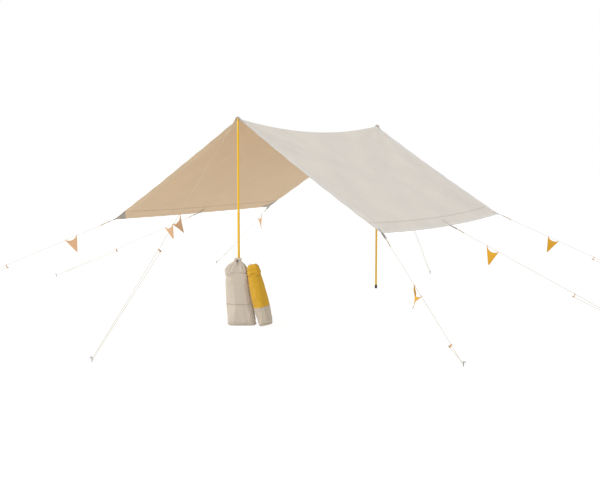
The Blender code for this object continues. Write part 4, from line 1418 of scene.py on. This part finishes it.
def rising(value, low, high):
    """0 below low, 1 above high, and a smooth rise between them."""
    t = min(1.0, max(0.0, (value - low) / (high - low)))
    return t * t * (3 - 2 * t)


def tarp_bag_held(point):
    return max(rising(point.z, 0.50, 0.64), 1.0 - rising(point.z, 0.010, 0.035))


def finish_bag(bag, name, materials, slot, *replaced):
    """Give a filled bag its name, cloth and smooth shading, and hand it to the frame."""
    bag.name = name
    bag.data.materials.clear()
    for material in materials:
        bag.data.materials.append(material)
    bag.data.shade_smooth()
    for vertex in bag.data.vertices:
        vertex.co.z = max(vertex.co.z, 0.0)
    place(bag, slot, *replaced)
    print(name, "has", triangles(bag), "triangles")


bag = remeshed(tarp_bag_shell(), 0.0045)
bag = filled(bag, tarp_bag_held, spare=0.05, pressure=3.0, cap=0.009)
metres_uv(bag, tarp_bag_matrix, 0.11)
finish_bag(bag, "tarp_bag_cloth", [bag_canvas], "bag_cotton", "tarp_bag")
tarp_bag = bag

# %% Shell of the pole bag
base_rise = POLE_BAG_HALF_WIDTH * POLE_BAG_SECTIONS[0][1] * math.sin(POLE_BAG_LEAN)
pole_bag_matrix = (Matrix.Translation(UP * base_rise) @ beside_pole(*POLE_BAG_PLACE)
                   @ Matrix.Rotation(-POLE_BAG_LEAN, 4, "Y"))
POLE_BAG_TOP = POLE_BAG_SECTIONS[-1][0]
FLAP_EDGE, FLAP_PINCH = 0.572, 5 * MM


def pole_bag_ring(height, inset=0.0, count=90):
    share, = between(POLE_BAG_SECTIONS, height)
    pinch = FLAP_PINCH * math.exp(-((height - FLAP_EDGE) / 0.007) ** 2)
    ring = []
    for s in range(count):
        angle = math.tau * s / count
        grow = soft_folds(angle + 2.0, height, 7 * MM) - inset - pinch
        ring.append(pole_bag_matrix @ bag_point(angle, POLE_BAG_HALF_WIDTH * share + grow,
                                                POLE_BAG_HALF_DEPTH * share + grow, height))
    return ring


def pole_bag_shell():
    heights = [0.0, 0.004, 0.012] + [0.02 + 0.0155 * k for k in range(35)]
    heights += [0.552 + 0.005 * k for k in range(15)] + [POLE_BAG_TOP]
    return loft("pole_bag_shell", [pole_bag_ring(h, inset=2.5 * MM) for h in heights], [mustard_canvas])


def pole_bag_held(point):
    height = (pole_bag_matrix.inverted() @ point).z
    return max(rising(height, 0.53, 0.57), 1.0 - rising(height, 0.010, 0.03))


bag = remeshed(pole_bag_shell(), 0.0045)
bag = filled(bag, pole_bag_held, spare=0.05, pressure=3.0, cap=0.008)
metres_uv(bag, pole_bag_matrix, 0.06)
finish_bag(bag, "pole_bag_cloth", [mustard_canvas, base_canvas_with_painted_shade], "bag_mustard", "pole_bag", "pole_bag_base")
pole_bag = bag
upright = pole_bag_matrix.inverted()
# Faces below the base seam take the cream base canvas, which is painted a little darker as painted shade
# near the ground.
for face in bag.data.polygons:
    face.material_index = 1 if (upright @ face.center).z < POLE_BAG_BASE else 0

# %% [markdown]
# ### What is sewn and threaded on the bags
# The filled cloth has its own shape now, so seams and cords can't be placed by formula. Rays sent out
# from the middle of a bag find its cloth at any height, and the seams, piping and cord lie on that.

# %% Places on a filled bag
ROUND = 110


def surface(piece):
    mesh = piece.data
    return BVHTree.FromPolygons([v.co for v in mesh.vertices], [tuple(f.vertices) for f in mesh.polygons])


def places_round(tree, matrix, height, lift, wide=2.2, aside=0.0):
    """A ring of places on a bag at this height, this far outside its cloth."""
    ring = []
    for s in range(ROUND):
        angle = math.tau * s / ROUND
        outward = matrix.to_3x3() @ Vector((wide * math.cos(angle), math.sin(angle), 0)).normalized()
        hit, normal, _, _ = tree.ray_cast(matrix @ Vector((aside, 0, height)), outward)
        ring.append(hit + outward * lift)
    return ring


def sewn_band(name, tree, matrix, height, width, lift, material, **shape):
    """A flat raised band sewn round a bag."""
    edges = [places_round(tree, matrix, height + h * width, up * lift, **shape)
             for h, up in ((-0.5, 0.0), (-0.4, 1.0), (0.0, 1.15), (0.4, 1.0), (0.5, 0.0), (0.0, -1.0))]
    return loft(name, [list(ring) for ring in zip(*edges)], [material], closed=True, sharp=60)


def piping(name, tree, matrix, height, radius, material, **shape):
    return sweep(name, places_round(tree, matrix, height, radius * 0.5, **shape), radius, [material],
                 sides=8, closed=True)


# %% Seams, piping, drawcord and straps
TARP_BAG_SEAM, TARP_BAG_PIPING, POLE_BAG_PIPING = 0.222, 0.017, 0.016
SEAM_HALF = 6 * MM
tarp_skin, pole_skin = surface(tarp_bag), surface(pole_bag)
leant = {"wide": 1.4}
seam_shape = {"aside": -0.019}
bag_seams = [
    sewn_band("seam", tarp_skin, tarp_bag_matrix, TARP_BAG_SEAM, 2 * SEAM_HALF, 1.3 * MM, bag_seam_canvas,
              **seam_shape),
    piping("piping", tarp_skin, tarp_bag_matrix, TARP_BAG_PIPING, 2.8 * MM, bag_seam_canvas),
    sewn_band("seam", pole_skin, pole_bag_matrix, POLE_BAG_BASE, 5 * MM, 1.2 * MM, bag_seam_canvas, **leant),
    piping("piping", pole_skin, pole_bag_matrix, POLE_BAG_PIPING, 2.4 * MM, bag_seam_canvas, **leant),
]
place(join("bag_seams_and_piping", bag_seams), "bag_cotton")
rows = [places_round(tarp_skin, tarp_bag_matrix, TARP_BAG_SEAM + h, 1.5 * MM, **seam_shape)
        for h in (-0.7 * SEAM_HALF, 0.7 * SEAM_HALF)]
rows.append(places_round(pole_skin, pole_bag_matrix, POLE_BAG_BASE - 6 * MM, 0.3 * MM, **leant))
rows.append(places_round(tarp_skin, tarp_bag_matrix, TIED - 16 * MM, 0.3 * MM, aside=-0.040, wide=1.7))
sewing = along_paths("bag_stitches", [ring + ring[:1] for ring in rows], stitch_tree, Thread=pale_thread,
                     Pitch=6 * MM, Length=2.4 * MM, Radius=0.5 * MM)
place(sewing, "bag_cotton")

# %% Drawcord and cord lock
DRAWCORD, LOCK_RADIUS, LOCK_LENGTH = 1.8 * MM, 7.5 * MM, 21 * MM
tie = places_round(tarp_skin, tarp_bag_matrix, TIED, DRAWCORD * 0.7, wide=1.7, aside=-0.040)
tie_loop = sweep("drawcord", tie, DRAWCORD, [drawcord_braid], sides=8, closed=True)
front = min(tie, key=lambda p: (tarp_bag_matrix.inverted() @ p).y)
lock_top = front - bag_back * 6 * MM + UP * 3 * MM
cords = [tie_loop]
for aside, drop in ((-1, 62), (1, 74)):
    ends = [front + bag_right * aside * 7 * MM, lock_top + bag_right * aside * 2.6 * MM,
            lock_top + bag_right * aside * 2.6 * MM - UP * LOCK_LENGTH,
            lock_top + bag_right * aside * 6 * MM - bag_back * 4 * MM - UP * 40 * MM,
            lock_top + bag_right * aside * 8 * MM - bag_back * 6 * MM - UP * drop * MM]
    cords.append(sweep("drawcord", smooth_path(ends, 0.004), DRAWCORD, [drawcord_braid], sides=8))
    cords.append(turned("cord_end", [(0, -3 * MM), (2.6 * MM, -2 * MM), (3.2 * MM, 0), (2.6 * MM, 2 * MM),
                                     (0, 3 * MM)], ends[-1], [drawcord_braid], sides=12))
place(join("tarp_bag_drawcord", cords), "cord")
barrel = [(0, 0), (LOCK_RADIUS * 0.8, 0), (LOCK_RADIUS, 1.5 * MM), (LOCK_RADIUS, LOCK_LENGTH * 0.62),
          (LOCK_RADIUS * 0.8, LOCK_LENGTH * 0.70), (LOCK_RADIUS * 0.55, LOCK_LENGTH * 0.71),
          (LOCK_RADIUS * 0.55, LOCK_LENGTH * 0.80), (LOCK_RADIUS * 0.7, LOCK_LENGTH * 0.82),
          (LOCK_RADIUS * 0.7, LOCK_LENGTH * 0.96), (LOCK_RADIUS * 0.5, LOCK_LENGTH), (0, LOCK_LENGTH)]
lock = turned("tarp_bag_cord_lock", barrel, lock_top - UP * LOCK_LENGTH * 0.9, [dark_plastic], sides=24)
place(lock, "foot_plastic")

# %% The pole bag's carrying loop
LOOP_PLACES = [(-0.050, 0.0, 0.600), (-0.047, 0.0, 0.622), (-0.034, 0.0, 0.640), (-0.016, 0.0, 0.640),
               (-0.006, 0.0, 0.620)]
stations = []
for x, y, z in LOOP_PLACES:
    outward = Vector((x + 0.027, 0, z - 0.612)).normalized()
    stations.append((pole_bag_matrix @ Vector((x, y, z)), bag_back,
                     pole_bag_matrix.to_3x3() @ outward))
loop = strap("pole_bag_webbing_loop", stations, 0.018, 1.6 * MM, [grey_webbing])
place(loop, "webbing")
print("bag trims in place")

# %% [markdown]
# ## Floor, light and declarations
# The photograph is a cut-out on white, lit softly from all round. A pale floor under a white sky gives
# that, with one large soft lamp on the left so that round things have a lit and a shaded side.

# %% Floor and light
FLOOR_SIZE, FLOOR_DROP = 120.0, 0.5 * MM
floor_mesh = bpy.data.meshes.new("floor")
half = FLOOR_SIZE / 2
floor_mesh.from_pydata([(-half, -half, -FLOOR_DROP), (half, -half, -FLOOR_DROP),
                        (half, half, -FLOOR_DROP), (-half, half, -FLOOR_DROP)], [], [(0, 1, 2, 3)])
floor = bpy.data.objects.new("floor", floor_mesh)
bpy.context.scene.collection.objects.link(floor)
floor_paint, _, floor_shader = new_material("matt_white_floor", 0.95)
floor_shader.inputs["Base Color"].default_value = colour("#595959")
floor_shader.inputs["Emission Color"].default_value = colour("#FFFFFF")
floor_shader.inputs["Emission Strength"].default_value = 0.90
floor_mesh.materials.append(floor_paint)

world = bpy.data.worlds.new("studio")
world.use_nodes = True
world.node_tree.nodes["Background"].inputs["Color"].default_value = colour("#FFFFFF")
world.node_tree.nodes["Background"].inputs["Strength"].default_value = 1.0
bpy.context.scene.world = world


def soft_lamp(name, offset, size, watts, tint):
    lamp = bpy.data.lights.new(name, "AREA")
    lamp.shape, lamp.size, lamp.energy = "SQUARE", size, watts
    lamp.color = colour(tint)[:3]
    holder = bpy.data.objects.new(name, lamp)
    holder.location = MIDDLE + Vector(offset)
    holder.rotation_euler = (MIDDLE + UP - holder.location).to_track_quat("-Z", "Y").to_euler()
    bpy.context.scene.collection.objects.link(holder)


soft_lamp("key", (-5.0, -8.0, 6.5), 5.0, 600, "#FFFDFA")
bpy.context.scene.view_settings.view_transform = "Standard"
